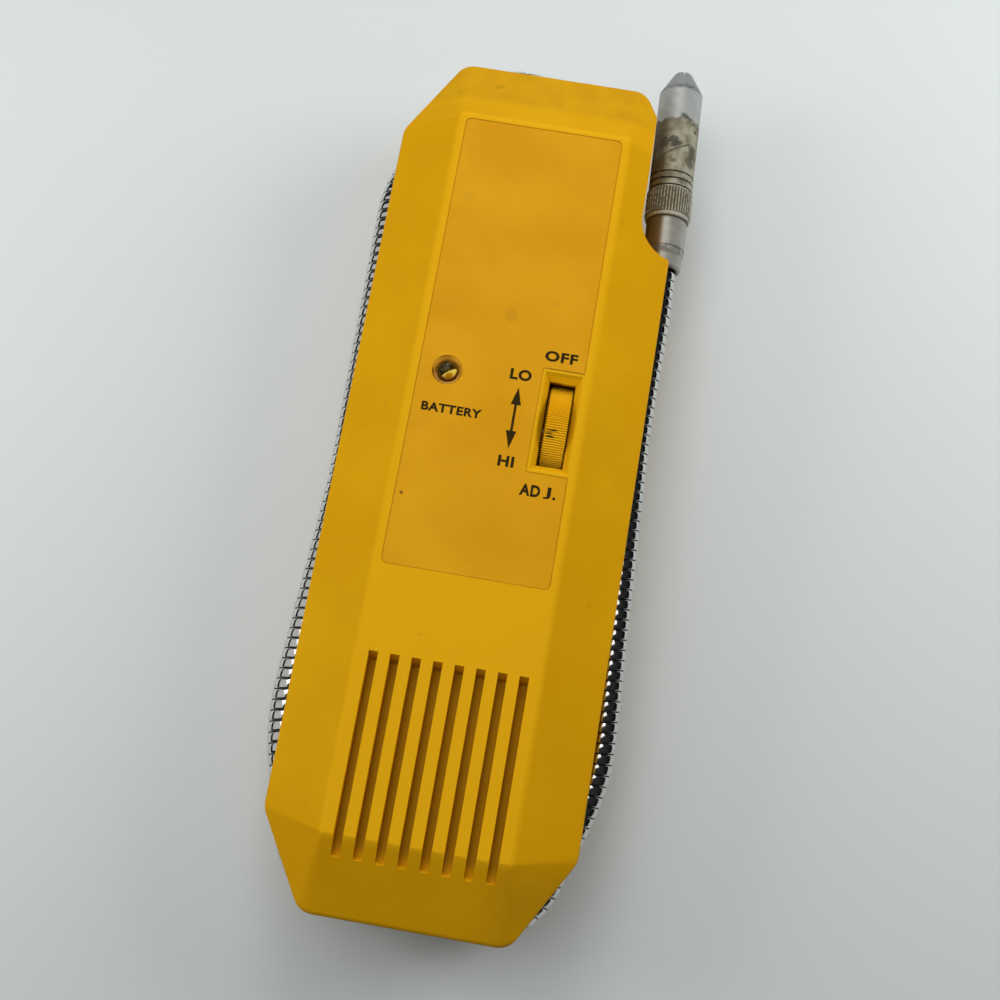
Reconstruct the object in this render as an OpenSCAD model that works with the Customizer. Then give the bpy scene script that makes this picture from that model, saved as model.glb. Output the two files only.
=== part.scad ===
// Handheld refrigerant leak detector with a gooseneck probe stowed round its housing.
// Frame: +Y runs to the sensor tip end, +Z out of the front face, the origin lies on
// the flat back face, under the middle of the housing. Millimetres.

/* [Housing] */
// Length of the housing from foot to head
body_l = 224.2; // [214:0.2:260]
// Width across the two flanges
body_w = 76; // [75:0.5:92]
// Thickness from the flat back to the flat front
body_t = 42; // [41:0.5:52]
// Width of the flat front and back faces
flat_w = 44.2; // [43.6:0.2:50]
// Length of the sloping faces at the foot and the head
slope_l = 19.4; // [16:0.2:20]
// Height lost along the sloping faces
bevel_drop = 7.7; // [5:0.1:8.5]
// Width of the cut corners, across the housing
corner_x = 13; // [10:0.5:16]
// Length of the cut corners, along the housing
corner_y = 22; // [16:0.5:26]
// Radius of the outline's corners
corner_r = 5.5; // [3:0.1:7]
// Radius along the edges of the faces
edge_r = 1.5; // [0.6:0.1:2]
// Moulded wall thickness
wall = 2.4; // [1.8:0.1:2.6]
// Play between pieces that are pushed together
seat_gap = 0.1; // [0.05:0.01:0.15]
// Height of the lip that centres the two shells
lip_h = 1.6; // [1:0.1:2.4]
// Thickness of that lip
lip_t = 1; // [0.8:0.1:1.4]

/* [Probe groove] */
// Height of the groove between the two flanges
groove_h = 14.6; // [13.6:0.1:16]
// Depth of the groove along the sides
groove_side = 5; // [4.6:0.1:5.4]
// Depth of the groove at the foot
groove_foot = 7; // [6:0.1:7.4]
// Depth of the groove at the head
groove_head = 12; // [11:0.1:14]
// Depth of the groove behind the cut corners
groove_corner = 10.4; // [9.8:0.1:12]
// Distance from the middle line to the wall beside the sensor tip
notch_x = 29; // [28.6:0.1:29.4]
// Length of the notch for the sensor tip, from the head
notch_l = 47.6; // [44:0.2:50]
// Radius at the foot of the notch
notch_r = 9; // [7:0.5:10]
// Radius of the head corner beside the notch
notch_corner_r = 5; // [3:0.5:6]

/* [Label] */
// Width of the label recess
label_w = 41.6; // [40:0.2:42]
// Length of the label recess
label_l = 120.4; // [112:0.2:124]
// Distance from the recess to the end of the flat face
label_margin = 0.7; // [0.5:0.1:3]
// Corner radius of the recess
label_r = 1.5; // [1:0.1:4]
// Depth of the recess
label_depth = 0.4; // [0.3:0.05:0.6]
// Thickness of the label film
label_t = 0.3; // [0.2:0.05:0.35]

/* [Battery lamp] */
// Distance of the lamp to the left of the middle line
lamp_x = 13.5; // [11:0.1:15]
// Distance of the lamp from the wheel's axle, along the housing
lamp_from_wheel = 9.1; // [7:0.1:14]
// Diameter of the lamp's lens
lamp_d = 5; // [4:0.1:5.2]
// Diameter of the countersink round the lamp
lamp_sink_d = 7.7; // [7:0.1:9]
// Height of the lamp's crown above the front face
lamp_proud = 1.6; // [0.8:0.1:2.4]
// Length of the lamp from its foot to its crown
lamp_l = 8.2; // [7.6:0.1:9]

/* [Thumbwheel] */
// Distance of the wheel to the right of the middle line
wheel_x = 15.8; // [15.2:0.1:16.2]
// Distance of the wheel's axle from the head edge of the battery door
wheel_from_door = 5.6; // [5:0.1:8]
// Diameter of the wheel
wheel_d = 25; // [22:0.2:25.6]
// Width of the wheel
wheel_w = 5.9; // [5:0.1:6.4]
// Height of the wheel's crown above the front face
wheel_proud = 0.8; // [0.4:0.1:1.4]
// Number of ribs on the rim
wheel_ribs = 126; // [60:2:150]
// Depth of the ribs
wheel_rib_h = 0.3; // [0.15:0.05:0.4]
// Length of the slot that the wheel comes through
slot_l = 21.8; // [20.8:0.1:22.4]
// Distance from the middle of the well to the middle of the slot, towards the foot
slot_shift = 0.3; // [0:0.1:0.9]
// Gap between the wheel and each side of the slot
slot_gap = 0.3; // [0.25:0.05:0.5]
// Depth of the sloping well round the slot
well_depth = 1.6; // [1:0.1:2.6]
// Width of the well's slope at its sides
well_slope = 1.6; // [0.8:0.1:1.8]
// Length of the well's slope at its ends
well_end = 2; // [1.6:0.1:2.6]
// Width of the raised rim round the well
well_rim = 0.6; // [0.5:0.05:0.9]
// Diameter of the spindle
spindle_d = 4; // [3:0.1:5]
// Diameter of the control's can
control_d = 13; // [11:0.2:13.4]
// Thickness of the control's can
control_w = 6; // [5:0.1:7]

/* [Grille] */
// Number of grooves in the grille
grille_n = 8; // [5:1:8]
// Distance between grooves
grille_pitch = 5.22; // [4.6:0.01:5.3]
// Width of a groove at the face
grille_w = 2.3; // [1.6:0.1:2.8]
// Taper of each groove wall
grille_taper = 0.2; // [0.05:0.05:0.4]
// Depth of a groove
grille_depth = 3.4; // [2.4:0.1:3.8]
// Length of a groove at the face
grille_l = 49.3; // [40:0.1:52]
// Distance of the grooves from the foot of the housing
grille_from_foot = 13.1; // [12.6:0.1:16]
// Length of the ramps at the ends of a groove
grille_ramp = 1.9; // [1:0.1:3]
// Diameter of the sounder behind the grille
sounder_d = 36; // [28:0.5:37]
// Thickness of the sounder
sounder_t = 3.4; // [2.6:0.1:3.6]

/* [Battery bay] */
// Diameter of a cell
cell_d = 26.2; // [24:0.1:26.4]
// Length of a cell with its button
cell_l = 50; // [46:0.2:50.4]
// Height of a cell's button
cell_button_h = 1.8; // [1.4:0.1:2.2]
// Diameter of a cell's button
cell_button_d = 6.6; // [5.5:0.1:7.5]
// Play round the cells in their bay
cell_gap = 0.4; // [0.3:0.05:0.6]
// Length of the contact spring when a cell presses it
spring_l = 5.6; // [5:0.1:6]
// Thickness of the contact plates
plate_t = 0.4; // [0.3:0.05:0.6]
// Width of the contact plates
plate_w = 14; // [12:0.2:16]
// Thickness of the bay's ribs and bulkhead
rib_t = 1.6; // [1.2:0.1:1.8]
// Thickness of the battery door
door_t = 2; // [1.6:0.1:2.2]
// Width of the ledge that the door rests on
door_ledge = 1.7; // [1.2:0.1:1.9]
// Gap round the door
door_gap = 0.2; // [0.15:0.05:0.3]
// Width of each of the door's two tongues
tongue_w = 6; // [4:0.1:7]
// Reach of the tongues past the door's edge
tongue_l = 2; // [1.4:0.1:2.2]

/* [Circuit board] */
// Width of the board
board_w = 52; // [50:0.5:52]
// Length of the board
board_l = 70; // [64:0.5:72]
// Thickness of the board
board_t = 1.6; // [1:0.1:2]
// Height of the board above the back face
board_z = 17; // [15:0.1:17.2]
// Diameter of the high-voltage coil
coil_d = 20; // [14:0.5:22]
// Height of the high-voltage coil
coil_h = 12; // [8:0.5:15]
// Diameter of a capacitor
capacitor_d = 10; // [6:0.5:12]
// Height of a capacitor
capacitor_h = 16; // [10:0.5:18]
// Length of a logic chip
chip_l = 19; // [15:0.5:20]
// Width of a logic chip
chip_w = 6.4; // [6:0.1:7.6]
// Thickness of a logic chip
chip_t = 3.4; // [2.5:0.1:4]
// Distance from the coil to the nearer logic chip's middle line
chip_from_coil = 18; // [16:0.5:22]
// Distance from one logic chip to the next
chip_pitch = 10; // [8.5:0.5:12]
// Width of the drive transistor
transistor_w = 10; // [8:0.5:10.5]
// Thickness of the drive transistor
transistor_t = 4.4; // [3:0.1:4.8]

/* [Screws] */
// Distance of the housing screws from the middle line
screw_x = 20; // [19.6:0.1:20.4]
// Distance of the housing screws from the ends
screw_from_end = 27; // [25.6:0.2:28]
// Diameter of a housing screw's shank
screw_d = 3; // [2.5:0.1:3.5]
// Diameter of a housing screw's head
screw_head_d = 5.6; // [5:0.1:6]
// Height of a housing screw's head
screw_head_h = 2; // [1.6:0.1:2.4]
// Length of a housing screw's shank
screw_l = 24; // [20:0.5:28]
// Depth of a head below the back face
screw_sunk = 2; // [1:0.1:4]
// Outer diameter of the screw posts
post_d = 8; // [7.6:0.1:8.4]
// Outer diameter of the posts under the board
board_post_d = 6; // [5:0.1:6.4]
// Diameter of a board screw's shank
board_screw_d = 2.5; // [2:0.1:3]
// Length of a board screw's shank
board_screw_l = 7; // [5:0.5:10]

/* [Gooseneck] */
// Outer diameter of the gooseneck
neck_d = 8; // [7:0.1:8.1]
// Distance from one turn to the next
neck_pitch = 2.6; // [2.2:0.05:4]
// Depth of the furrow between two turns
neck_furrow = 0.45; // [0.2:0.05:0.6]
// Sides of the gooseneck's section
neck_sides = 10; // [8:1:12]
// Distance of the gooseneck's root to the right of the middle line
neck_x = 5.5; // [4:0.1:8]
// Radius of the bend at the root
root_bend_r = 14; // [13:0.1:15]
// Height of the root bend above the head of the housing
root_rise = 4; // [3:0.1:6]
// Radius of the bends at the foot
foot_bend_r = 18; // [16:0.5:19]
// Bow of the gooseneck away from the groove wall near the foot
neck_bow = 3.3; // [2:0.1:4]
// Gap between the gooseneck and the wall of the groove
neck_gap = 0.2; // [0.1:0.05:0.5]
// Diameter of the gland's collar
gland_d = 13.6; // [11:0.1:14]
// Thickness of the gland's collar
gland_t = 1.8; // [1.4:0.1:2]
// Diameter of the gland where it passes the wall
gland_neck_d = 10.6; // [10:0.1:10.8]
// Length of the gland's thread inside the wall
gland_l = 4.4; // [4:0.1:6]
// Width of the gland's lock nut along its thread
nut_t = 3; // [2:0.1:3.4]

/* [Sensor tip] */
// Diameter of the ferrule on the gooseneck's end
ferrule_d = 10.4; // [9.6:0.1:10.8]
// Length of the ferrule
ferrule_l = 5.8; // [5:0.1:8]
// Diameter of the sensor holder's barrel
barrel_d = 11.1; // [10.8:0.1:11.4]
// Length of barrel that shows below the cap
barrel_l = 8.7; // [7:0.1:10]
// Diameter of the threaded spigot under the cap
spigot_d = 9; // [8.4:0.1:9.2]
// Length of the spigot
spigot_l = 9; // [8:0.1:11]
// Diameter of the cap
cap_d = 12.1; // [11.8:0.1:12.3]
// Length of the cap
cap_l = 45.9; // [42:0.1:48]
// Length of the cap's pointed nose
nose_l = 6.9; // [5.5:0.1:8]
// Diameter of the nose at its end
nose_d = 4.4; // [3.6:0.1:5]
// Diameter over the knurled band
knurl_d = 12.7; // [12.4:0.1:12.9]
// Length of the knurled band
knurl_l = 7.2; // [6:0.1:8.4]
// Number of ridges in the knurled band
knurl_n = 46; // [30:1:54]
// Depth of the knurling
knurl_h = 0.35; // [0.2:0.05:0.45]
// Length of the smooth lip below the knurling
cap_lip_l = 1.2; // [0.8:0.1:2]
// Distance between the three turned rings above the knurling
ring_pitch = 2; // [1.6:0.1:2.4]
// Width of each turned ring
ring_w = 0.5; // [0.3:0.05:0.7]
// Depth of each turned ring
ring_depth = 0.35; // [0.2:0.05:0.5]
// Width of the air slots in the nose
air_slot_w = 0.5; // [0.3:0.1:1]
// Depth of the air slots
air_slot_l = 1.6; // [1.2:0.1:2.4]

/* [Hidden] */
$fn = 96;
eps = 0.01;
mid_z = body_t / 2;
half_t = body_t / 2;
half_w = body_w / 2;
y_head = body_l / 2;
y_foot = -body_l / 2;
flat_l = body_l - 2 * slope_l;
flat_head = flat_l / 2;
flat_foot = -flat_l / 2;
inner_top = body_t - wall;

// Slopes of the side and end faces
side_slope = atan(bevel_drop / (half_w - flat_w / 2));
end_slope = atan(bevel_drop / (y_head - flat_head));
inner_drop = wall / cos(side_slope) - wall * tan(side_slope);

// Core of the housing, inside the groove
core_hw = half_w - groove_side;
core_head = y_head - groove_head;
core_foot = y_foot + groove_foot;
corner_len = norm([corner_x, corner_y]);
corner_n = [corner_y / corner_len, corner_x / corner_len];
corner_reach = corner_n * [half_w, y_head - corner_y] - groove_corner;
core_side_y = (corner_reach - corner_n[0] * core_hw) / corner_n[1];
core_head_x = (corner_reach - corner_n[1] * core_head) / corner_n[0];
core_foot_x = (corner_reach + corner_n[1] * core_foot) / corner_n[0];
notch_y = y_head - notch_l + notch_r;

// Front face fittings
label_head = flat_head - label_margin;
label_foot = label_head - label_l;
label_z = body_t - label_depth;
lamp_crown = body_t + lamp_proud;
lamp_collar_t = 1;
lamp_seat = lamp_crown - lamp_l + lamp_collar_t + seat_gap;
wheel_z = body_t + wheel_proud - wheel_d / 2;
slot_w = wheel_w + 2 * slot_gap;
well_w = slot_w + 2 * well_slope;
well_l = slot_l + 2 * well_end;
well_floor = body_t - well_depth;
sleeve_z = well_floor - wall / 2;
grille_foot = y_foot + grille_from_foot;
grille_y = grille_foot + grille_l / 2;
pad_z = body_t - grille_depth - wall * 0.8;

// Battery bay, from the foot
spring_y = core_foot + wall;
cells_foot = spring_y + plate_t + spring_l;
cells_head = cells_foot + 2 * cell_l;
facet_rise = tan(end_slope) * max(0, flat_foot - cells_foot);
cell_z = facet_rise + wall / cos(end_slope) + seat_gap + cell_gap + cell_d / 2;
bay_hw = cell_d / 2 + cell_gap;
bulkhead_y = cells_head + seat_gap + plate_t;
ledge_z = door_t + door_gap;
door_hw = bay_hw + door_ledge;
door_foot = flat_foot + 1;
hinge_y = bulkhead_y + rib_t + tongue_l + 2 * door_gap;
wheel_y = hinge_y + wheel_from_door;
lamp_y = wheel_y + lamp_from_wheel;
door_rib_h = cell_z - cell_d / 2 - door_t - 3 * door_gap;
tongue_x = bay_hw / 2;
tongue_t = 1.2;

// Circuit board and what stands on it
board_foot = wheel_y - control_d / 2 + 1.9;
board_head = board_foot + board_l;
board_x = -1;
board_top = board_z + board_t;
pin_pitch = 2.54;
board_screw_at = [
  [-23, board_foot + 5], [-23, board_head - 10], [21, board_head - 10], [21, board_foot + 24]
];
housing_screw_at = [
  for (sx = [-1, 1], y = [y_foot + screw_from_end, y_head - screw_from_end]) [sx * screw_x, y]
];
sounder_z = pad_z - 0.6;

// Route of the gooseneck in the groove's middle plane: corners and bend radii
neck_r = neck_d / 2;
neck_side = core_hw + neck_r + neck_gap;
neck_foot_y = core_foot - neck_r - neck_gap - 0.1;
neck_in_gland = 4;
apex_y = y_head + root_rise;
route = [
  [neck_x, core_head - neck_in_gland],
  [neck_x, apex_y],
  [neck_x - 21.5, apex_y],
  [-neck_side - 1.8, core_side_y + 2],
  [-neck_side, -6],
  [-neck_side - neck_bow, y_foot + 42],
  [-core_foot_x - 11, neck_foot_y],
  [core_foot_x + 11, neck_foot_y],
  [neck_side + neck_bow, y_foot + 42],
  [neck_side - 0.2, 20],
  [neck_side + 0.45, notch_y - 17.5],
  [neck_side - 0.065, notch_y - 2.9]
];
bend_r = [0, root_bend_r, root_bend_r, 30, 200, 60, foot_bend_r, foot_bend_r, 60, 200, 60, 0];
legs = len(route) - 1;

function heading(a, b) = atan2(b[1] - a[1], b[0] - a[0]);
function leg_heading(i) = heading(route[i], route[i + 1]);
function wrapped(a) = a > 180 ? a - 360 : a < -180 ? a + 360 : a;
function bend(i) = i == 0 || i == legs ? 0 : wrapped(leg_heading(i) - leg_heading(i - 1));
function setback(i) = bend_r[i] * tan(abs(bend(i)) / 2);
function leg_len(i) = norm(route[i + 1] - route[i]) - setback(i) - setback(i + 1);
function arc_len(i) = bend_r[i] * abs(bend(i)) * PI / 180;
function run_to(i) = i == 0 ? 0 : run_to(i - 1) + leg_len(i - 1) + arc_len(i);
leg_start = [for (i = [0 : legs]) run_to(i)];
neck_l = leg_start[legs];
function leg_at(s) = max([for (i = [0 : legs - 1]) if (leg_start[i] <= s + eps) i]);

// Place on the route at length s: x, y and heading
function on_leg(i, u) =
  let (h = leg_heading(i), p = route[i] + (setback(i) + min(u, leg_len(i))) * [cos(h), sin(h)])
  u <= leg_len(i) ? [p[0], p[1], h] : on_bend(p, h, sign(bend(i + 1)) * bend_r[i + 1], u - leg_len(i));
function on_bend(p, h, r, v) =
  let (g = h + v / r * 180 / PI)
  [p[0] + r * (sin(g) - sin(h)), p[1] - r * (cos(g) - cos(h)), g];
function on_route(s) = let (i = leg_at(s)) on_leg(i, s - leg_start[i]);

// Tip frame: origin at the ferrule's mouth, along the end of the gooseneck
tip_h = leg_heading(legs - 1);
neck_in_ferrule = ferrule_l - 2;
tip_at = route[legs] - neck_in_ferrule * [cos(tip_h), sin(tip_h)];
barrel_w = ferrule_l;
cap_w = barrel_w + barrel_l;
cap_bore = spigot_d + 0.06;

// Corner points of an outline, shared by the housing and its core
function flange_outline() = [
  [half_w, y_foot + corner_y], [half_w, y_head - corner_y],
  [half_w - corner_x, y_head], [corner_x - half_w, y_head],
  [-half_w, y_head - corner_y], [-half_w, y_foot + corner_y],
  [corner_x - half_w, y_foot], [half_w - corner_x, y_foot]
];
function core_outline() = [
  [core_hw, -core_side_y], [core_hw, core_head], [-core_head_x, core_head],
  [-core_hw, core_side_y], [-core_hw, -core_side_y],
  [-core_foot_x, core_foot], [core_foot_x, core_foot]
];
// Outline moved inwards by d, every edge by the same amount
function unit(v) = v / norm(v);
function left_of(v) = [-v[1], v[0]];
function inset(p, d) = [
  for (i = [0 : len(p) - 1])
    let (n = len(p), a = left_of(unit(p[i] - p[(i + n - 1) % n])))
    let (b = left_of(unit(p[(i + 1) % n] - p[i])))
    p[i] + d * (a + b) / (1 + a * b)
];

// Rounded rectangle about the origin
module rounded_rect(w, l, r) {
  square([w - 2 * r, l], center = true);
  square([w, l - 2 * r], center = true);
  for (x = [-1, 1], y = [-1, 1])
    translate([x * (w / 2 - r), y * (l / 2 - r)]) circle(r = r);
}

// Straight-sided pocket that narrows from w by l at z = 0 to less by taper at its floor,
// the floor moved towards the foot by shift
module tapered_pocket(w, l, depth, taper_x, taper_y, shift = 0) {
  intersection() {
    rotate([90, 0, 0]) translate([0, 0, -l]) linear_extrude(2 * l)
      polygon([[-w / 2, 0], [w / 2, 0], [w / 2 - taper_x, -depth], [taper_x - w / 2, -depth]]);
    rotate([90, 0, 90]) translate([0, 0, -w]) linear_extrude(2 * w)
      polygon([
        [-l / 2, 0], [l / 2, 0],
        [l / 2 - taper_y - shift, -depth], [taper_y - l / 2 - shift, -depth]
      ]);
  }
  translate([0, 0, 0.5 - eps]) cube([w, l, 1], center = true);
}

// Notch for the sensor tip, grown by g for the wall round it
module notch_area(g = 0) {
  c = half_w;
  translate([notch_x - g, notch_y]) square([half_w, body_l]);
  translate([c, notch_y]) circle(r = notch_r + g);
  if (g == 0) {
    translate([notch_x - notch_corner_r, y_head - notch_corner_r]) difference() {
      square(2 * notch_corner_r);
      circle(r = notch_corner_r);
    }
  }
}
module core_area() {
  difference() {
    polygon(core_outline());
    notch_area();
  }
}
module inner_area(d) {
  difference() {
    polygon(inset(core_outline(), d));
    notch_area(d);
  }
}

// Solid half of the housing above the middle plane, with rounded edges
module bevelled_form() {
  rise = edge_r * tan((90 - side_slope) / 2);
  hull() {
    for (x = [-1, 1], y = [-1, 1])
      translate([
        x * (flat_w / 2 - edge_r * tan(side_slope / 2)),
        y * (flat_head - edge_r * tan(end_slope / 2)),
        half_t - edge_r
      ]) sphere(r = edge_r, $fn = 24);
    for (p = inset(flange_outline(), corner_r)) translate(p) {
      translate([0, 0, half_t - bevel_drop - rise])
        rotate_extrude($fn = 32) translate([corner_r - edge_r, 0]) circle(r = edge_r, $fn = 16);
      cylinder(r = corner_r, h = 1, $fn = 32);
    }
  }
}
// Inner surface of that half, one wall inside
module hollow_form() {
  hull() {
    translate([0, 0, -1]) linear_extrude(1 + half_t - bevel_drop - inner_drop)
      polygon(inset(flange_outline(), wall));
    translate([0, 0, -1]) linear_extrude(1 + half_t - wall)
      square([
        flat_w - 2 * wall * tan(side_slope / 2),
        flat_l - 2 * wall * tan(end_slope / 2)
      ], center = true);
  }
}
// One moulded half: face, flange with its skirt, and the core wall down to the parting
module shell_half() {
  difference() {
    bevelled_form();
    intersection() {
      hollow_form();
      translate([0, 0, -2]) linear_extrude(body_t) difference() {
        square([2 * body_w, 2 * body_l], center = true);
        difference() {
          core_area();
          inner_area(wall);
        }
        notch_area(wall);
      }
    }
    intersection() {
      hollow_form();
      translate([0, 0, -2]) linear_extrude(body_t) inner_area(wall);
    }
    translate([0, 0, -1]) linear_extrude(1 + groove_h / 2) difference() {
      square([2 * body_w, 2 * body_l], center = true);
      core_area();
    }
    translate([0, 0, -1]) linear_extrude(body_t) notch_area();
  }
}

module front_housing() {
  color([0.82, 0.63, 0.08]) difference() {
    union() {
      translate([0, 0, mid_z]) shell_half();
      screw_posts(mid_z, inner_top + 1);
      lamp_post();
      translate([wheel_x - well_w / 2 - well_rim, wheel_y - well_l / 2 - well_rim, sleeve_z])
        cube([well_w + 2 * well_rim, well_l + 2 * well_rim, inner_top + 1 - sleeve_z]);
      translate([0.5 - grille_n * grille_pitch / 2, grille_foot + 3, pad_z])
        cube([grille_n * grille_pitch - 1, grille_l - 3, inner_top + 0.6 - pad_z]);
      sounder_wall();
      cell_saddles();
    }
    translate([0, 0, label_z]) linear_extrude(2) difference() {
      translate([0, (label_head + label_foot) / 2]) rounded_rect(label_w, label_l, label_r);
      translate([wheel_x, wheel_y]) square([well_w + 2 * well_rim, well_l + 2 * well_rim], center = true);
    }
    translate([wheel_x, wheel_y, body_t])
      tapered_pocket(well_w, well_l, well_depth, well_slope, well_end, slot_shift);
    translate([wheel_x - slot_w / 2, wheel_y - slot_shift - slot_l / 2, sleeve_z - 1])
      cube([slot_w, slot_l, well_depth + wall + 2]);
    grille_grooves();
    lamp_hole();
    for (p = housing_screw_at) translate([p[0], p[1], mid_z - 1])
      cylinder(d = screw_d + 0.04, h = screw_sunk + screw_head_h + screw_l + 2 - mid_z);
    gland_hole();
  }
}

module screw_posts(z0, z1) {
  for (p = housing_screw_at) translate([p[0], p[1], z0]) cylinder(d = post_d, h = z1 - z0);
}
module lamp_post() {
  translate([-lamp_x, lamp_y, lamp_seat]) cylinder(d = lamp_sink_d + 1, h = inner_top + 1 - lamp_seat);
}
module lamp_hole() {
  translate([-lamp_x, lamp_y, lamp_seat - 1]) cylinder(d = lamp_d + 0.3, h = body_t);
  translate([-lamp_x, lamp_y, label_z - 1.3])
    cylinder(d1 = lamp_d + 0.6, d2 = lamp_sink_d, h = 1.31);
}
module gland_hole() {
  translate([neck_x, core_head + 1, mid_z]) rotate([90, 0, 0])
    cylinder(d = gland_neck_d + seat_gap, h = wall + 3);
}
// Blind grooves with tapered walls and ramped ends, running out over the sloping foot
module grille_grooves() {
  for (i = [0 : grille_n - 1])
    translate([(i - (grille_n - 1) / 2) * grille_pitch, grille_y, body_t])
      tapered_pocket(grille_w, grille_l, grille_depth, grille_taper, grille_ramp);
}
module sounder_wall() {
  y = grille_y;
  translate([0, y, sounder_z - sounder_t]) difference() {
    cylinder(d = sounder_d + 0.6 + 2 * 1.4, h = inner_top + 0.6 - sounder_z + sounder_t);
    translate([0, 0, -1]) cylinder(d = sounder_d + 0.6, h = body_t);
  }
}
// Curved ribs that hold the cells down on the door
module cell_saddles() {
  z0 = cell_z + cell_d * 0.36;
  for (y = [cells_foot + 2, cells_foot + cell_l - 6, cells_head - 40, cells_head - 8])
    difference() {
      translate([-bay_hw + 1, y, z0]) cube([2 * bay_hw - 2, rib_t, inner_top + 0.4 - z0]);
      translate([0, y - 1, cell_z]) rotate([-90, 0, 0]) cylinder(r = bay_hw, h = rib_t + 2);
    }
}

module rear_housing() {
  color([0.80, 0.61, 0.08]) difference() {
    union() {
      translate([0, 0, mid_z]) mirror([0, 0, 1]) shell_half();
      shell_lip();
      screw_posts(wall - 0.4, mid_z);
      board_posts();
      intersection() {
        bay_ribs();
        translate([0, 0, mid_z]) mirror([0, 0, 1]) bevelled_form();
      }
    }
    for (p = housing_screw_at) translate([p[0], p[1], -1]) {
      cylinder(d = screw_d + 0.4, h = body_t);
      cylinder(d = screw_head_d + 0.4, h = 1 + screw_sunk + screw_head_h);
    }
    for (p = board_screw_at) translate([p[0], p[1], board_top - board_screw_l - 0.5])
      cylinder(d = board_screw_d + 0.04, h = body_t);
    door_opening();
    gland_hole();
  }
}
// Lip inside the parting, left out where the lower contact and the gland's nut sit
module shell_lip() {
  difference() {
    union() {
      translate([0, 0, mid_z - lip_h]) linear_extrude(lip_h) difference() {
        inner_area(wall - 0.2);
        inner_area(wall + seat_gap + lip_t);
      }
      translate([0, 0, mid_z - eps]) linear_extrude(lip_h) difference() {
        inner_area(wall + seat_gap);
        inner_area(wall + seat_gap + lip_t);
      }
    }
    translate([-plate_w / 2 - 1, spring_y, 0]) cube([plate_w + 2, wall, body_t]);
    translate([neck_x - gland_d / 2 - 2, core_head - 2 * wall, 0])
      cube([gland_d + 4, wall, body_t]);
  }
}
module board_posts() {
  for (p = board_screw_at) translate([p[0], p[1], wall - 0.2])
    cylinder(d = board_post_d, h = board_z + 0.2 - wall);
}
// Side ribs, bulkhead and the ledge frame round the door
module bay_ribs() {
  rib_z = 15;
  for (s = [-1, 1])
    translate([s * (bay_hw + rib_t / 2) - rib_t / 2, spring_y - 1, 1])
      cube([rib_t, bulkhead_y + rib_t + 1 - spring_y, rib_z]);
  translate([-bay_hw - rib_t, bulkhead_y, 1]) cube([2 * bay_hw + rib_t - 1.4, rib_t, 25]);
  translate([-door_hw - rib_t, door_foot, 1])
    cube([2 * (door_hw + rib_t), hinge_y - door_foot, ledge_z + rib_t - 1]);
}
module door_opening() {
  // Rebate for the door plate
  translate([-door_hw - door_gap, door_foot - door_gap, -1])
    cube([2 * (door_hw + door_gap), hinge_y + 2 * door_gap - door_foot, 1 + ledge_z]);
  // Opening to the cells
  translate([-bay_hw, door_foot + door_ledge, -1])
    cube([2 * bay_hw, bulkhead_y - door_foot - door_ledge, ledge_z + rib_t + 2]);
  // Windows for the two tongues and their swing
  for (s = [-1, 1])
    translate([s * tongue_x - tongue_w / 2 - 0.4, bulkhead_y - 1, -1])
      cube([tongue_w + 0.8, hinge_y + door_gap + 1 - bulkhead_y, ledge_z + rib_t + 2.6]);
}
module battery_door() {
  color([0.80, 0.61, 0.08]) {
    difference() {
      union() {
        translate([-door_hw, door_foot, 0])
          cube([2 * door_hw, hinge_y - door_t / 2 - door_foot, door_t]);
        // Rounded head edge that the door swings about
        translate([-door_hw, hinge_y - door_t / 2, door_t / 2]) rotate([0, 90, 0])
          cylinder(d = door_t, h = 2 * door_hw);
        for (y = [door_foot + 10 : 20 : hinge_y - 20])
          translate([-8, y, door_t]) cube([16, rib_t, door_rib_h]);
        for (s = [-1, 1]) translate([s * tongue_x - tongue_w / 2, 0, 0]) {
          translate([0, hinge_y - 1.6, door_t / 2])
            cube([tongue_w, 1.6, wall + 0.3 + tongue_t - door_t / 2]);
          translate([0, hinge_y - 1.6, wall + 0.3]) cube([tongue_w, 1.6 + tongue_l, tongue_t]);
        }
      }
      // Finger grooves at the foot end
      for (i = [0 : 4]) translate([-6, door_foot + 4 + 2.4 * i, -0.5])
        cube([12, 1.2, 1.1]);
    }
  }
}

module label_panel() {
  color([0.88, 0.65, 0.12]) translate([0, 0, label_z]) linear_extrude(label_t) difference() {
    translate([0, (label_head + label_foot) / 2])
      rounded_rect(label_w - 2 * seat_gap, label_l - 2 * seat_gap, label_r);
    translate([wheel_x - well_w / 2 - well_rim - seat_gap, wheel_y - well_l / 2 - well_rim - seat_gap])
      square([label_w, well_l + 2 * well_rim + 2 * seat_gap]);
    translate([-lamp_x, lamp_y]) circle(d = lamp_sink_d);
  }
}

module battery_lamp() {
  color([0.75, 0.42, 0.05]) translate([-lamp_x, lamp_y, lamp_crown - lamp_l]) {
    cylinder(d = lamp_d + 0.8, h = lamp_collar_t);
    cylinder(d = lamp_d, h = lamp_l - lamp_d / 2);
    translate([0, 0, lamp_l - lamp_d / 2]) sphere(d = lamp_d);
  }
}
module lamp_spacer() {
  color([0.15, 0.15, 0.15]) translate([-lamp_x, lamp_y, board_top]) difference() {
    cylinder(d = lamp_d + 1, h = lamp_crown - lamp_l - board_top);
    translate([0, 0, -1]) cylinder(d = 3, h = body_t);
  }
}

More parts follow.
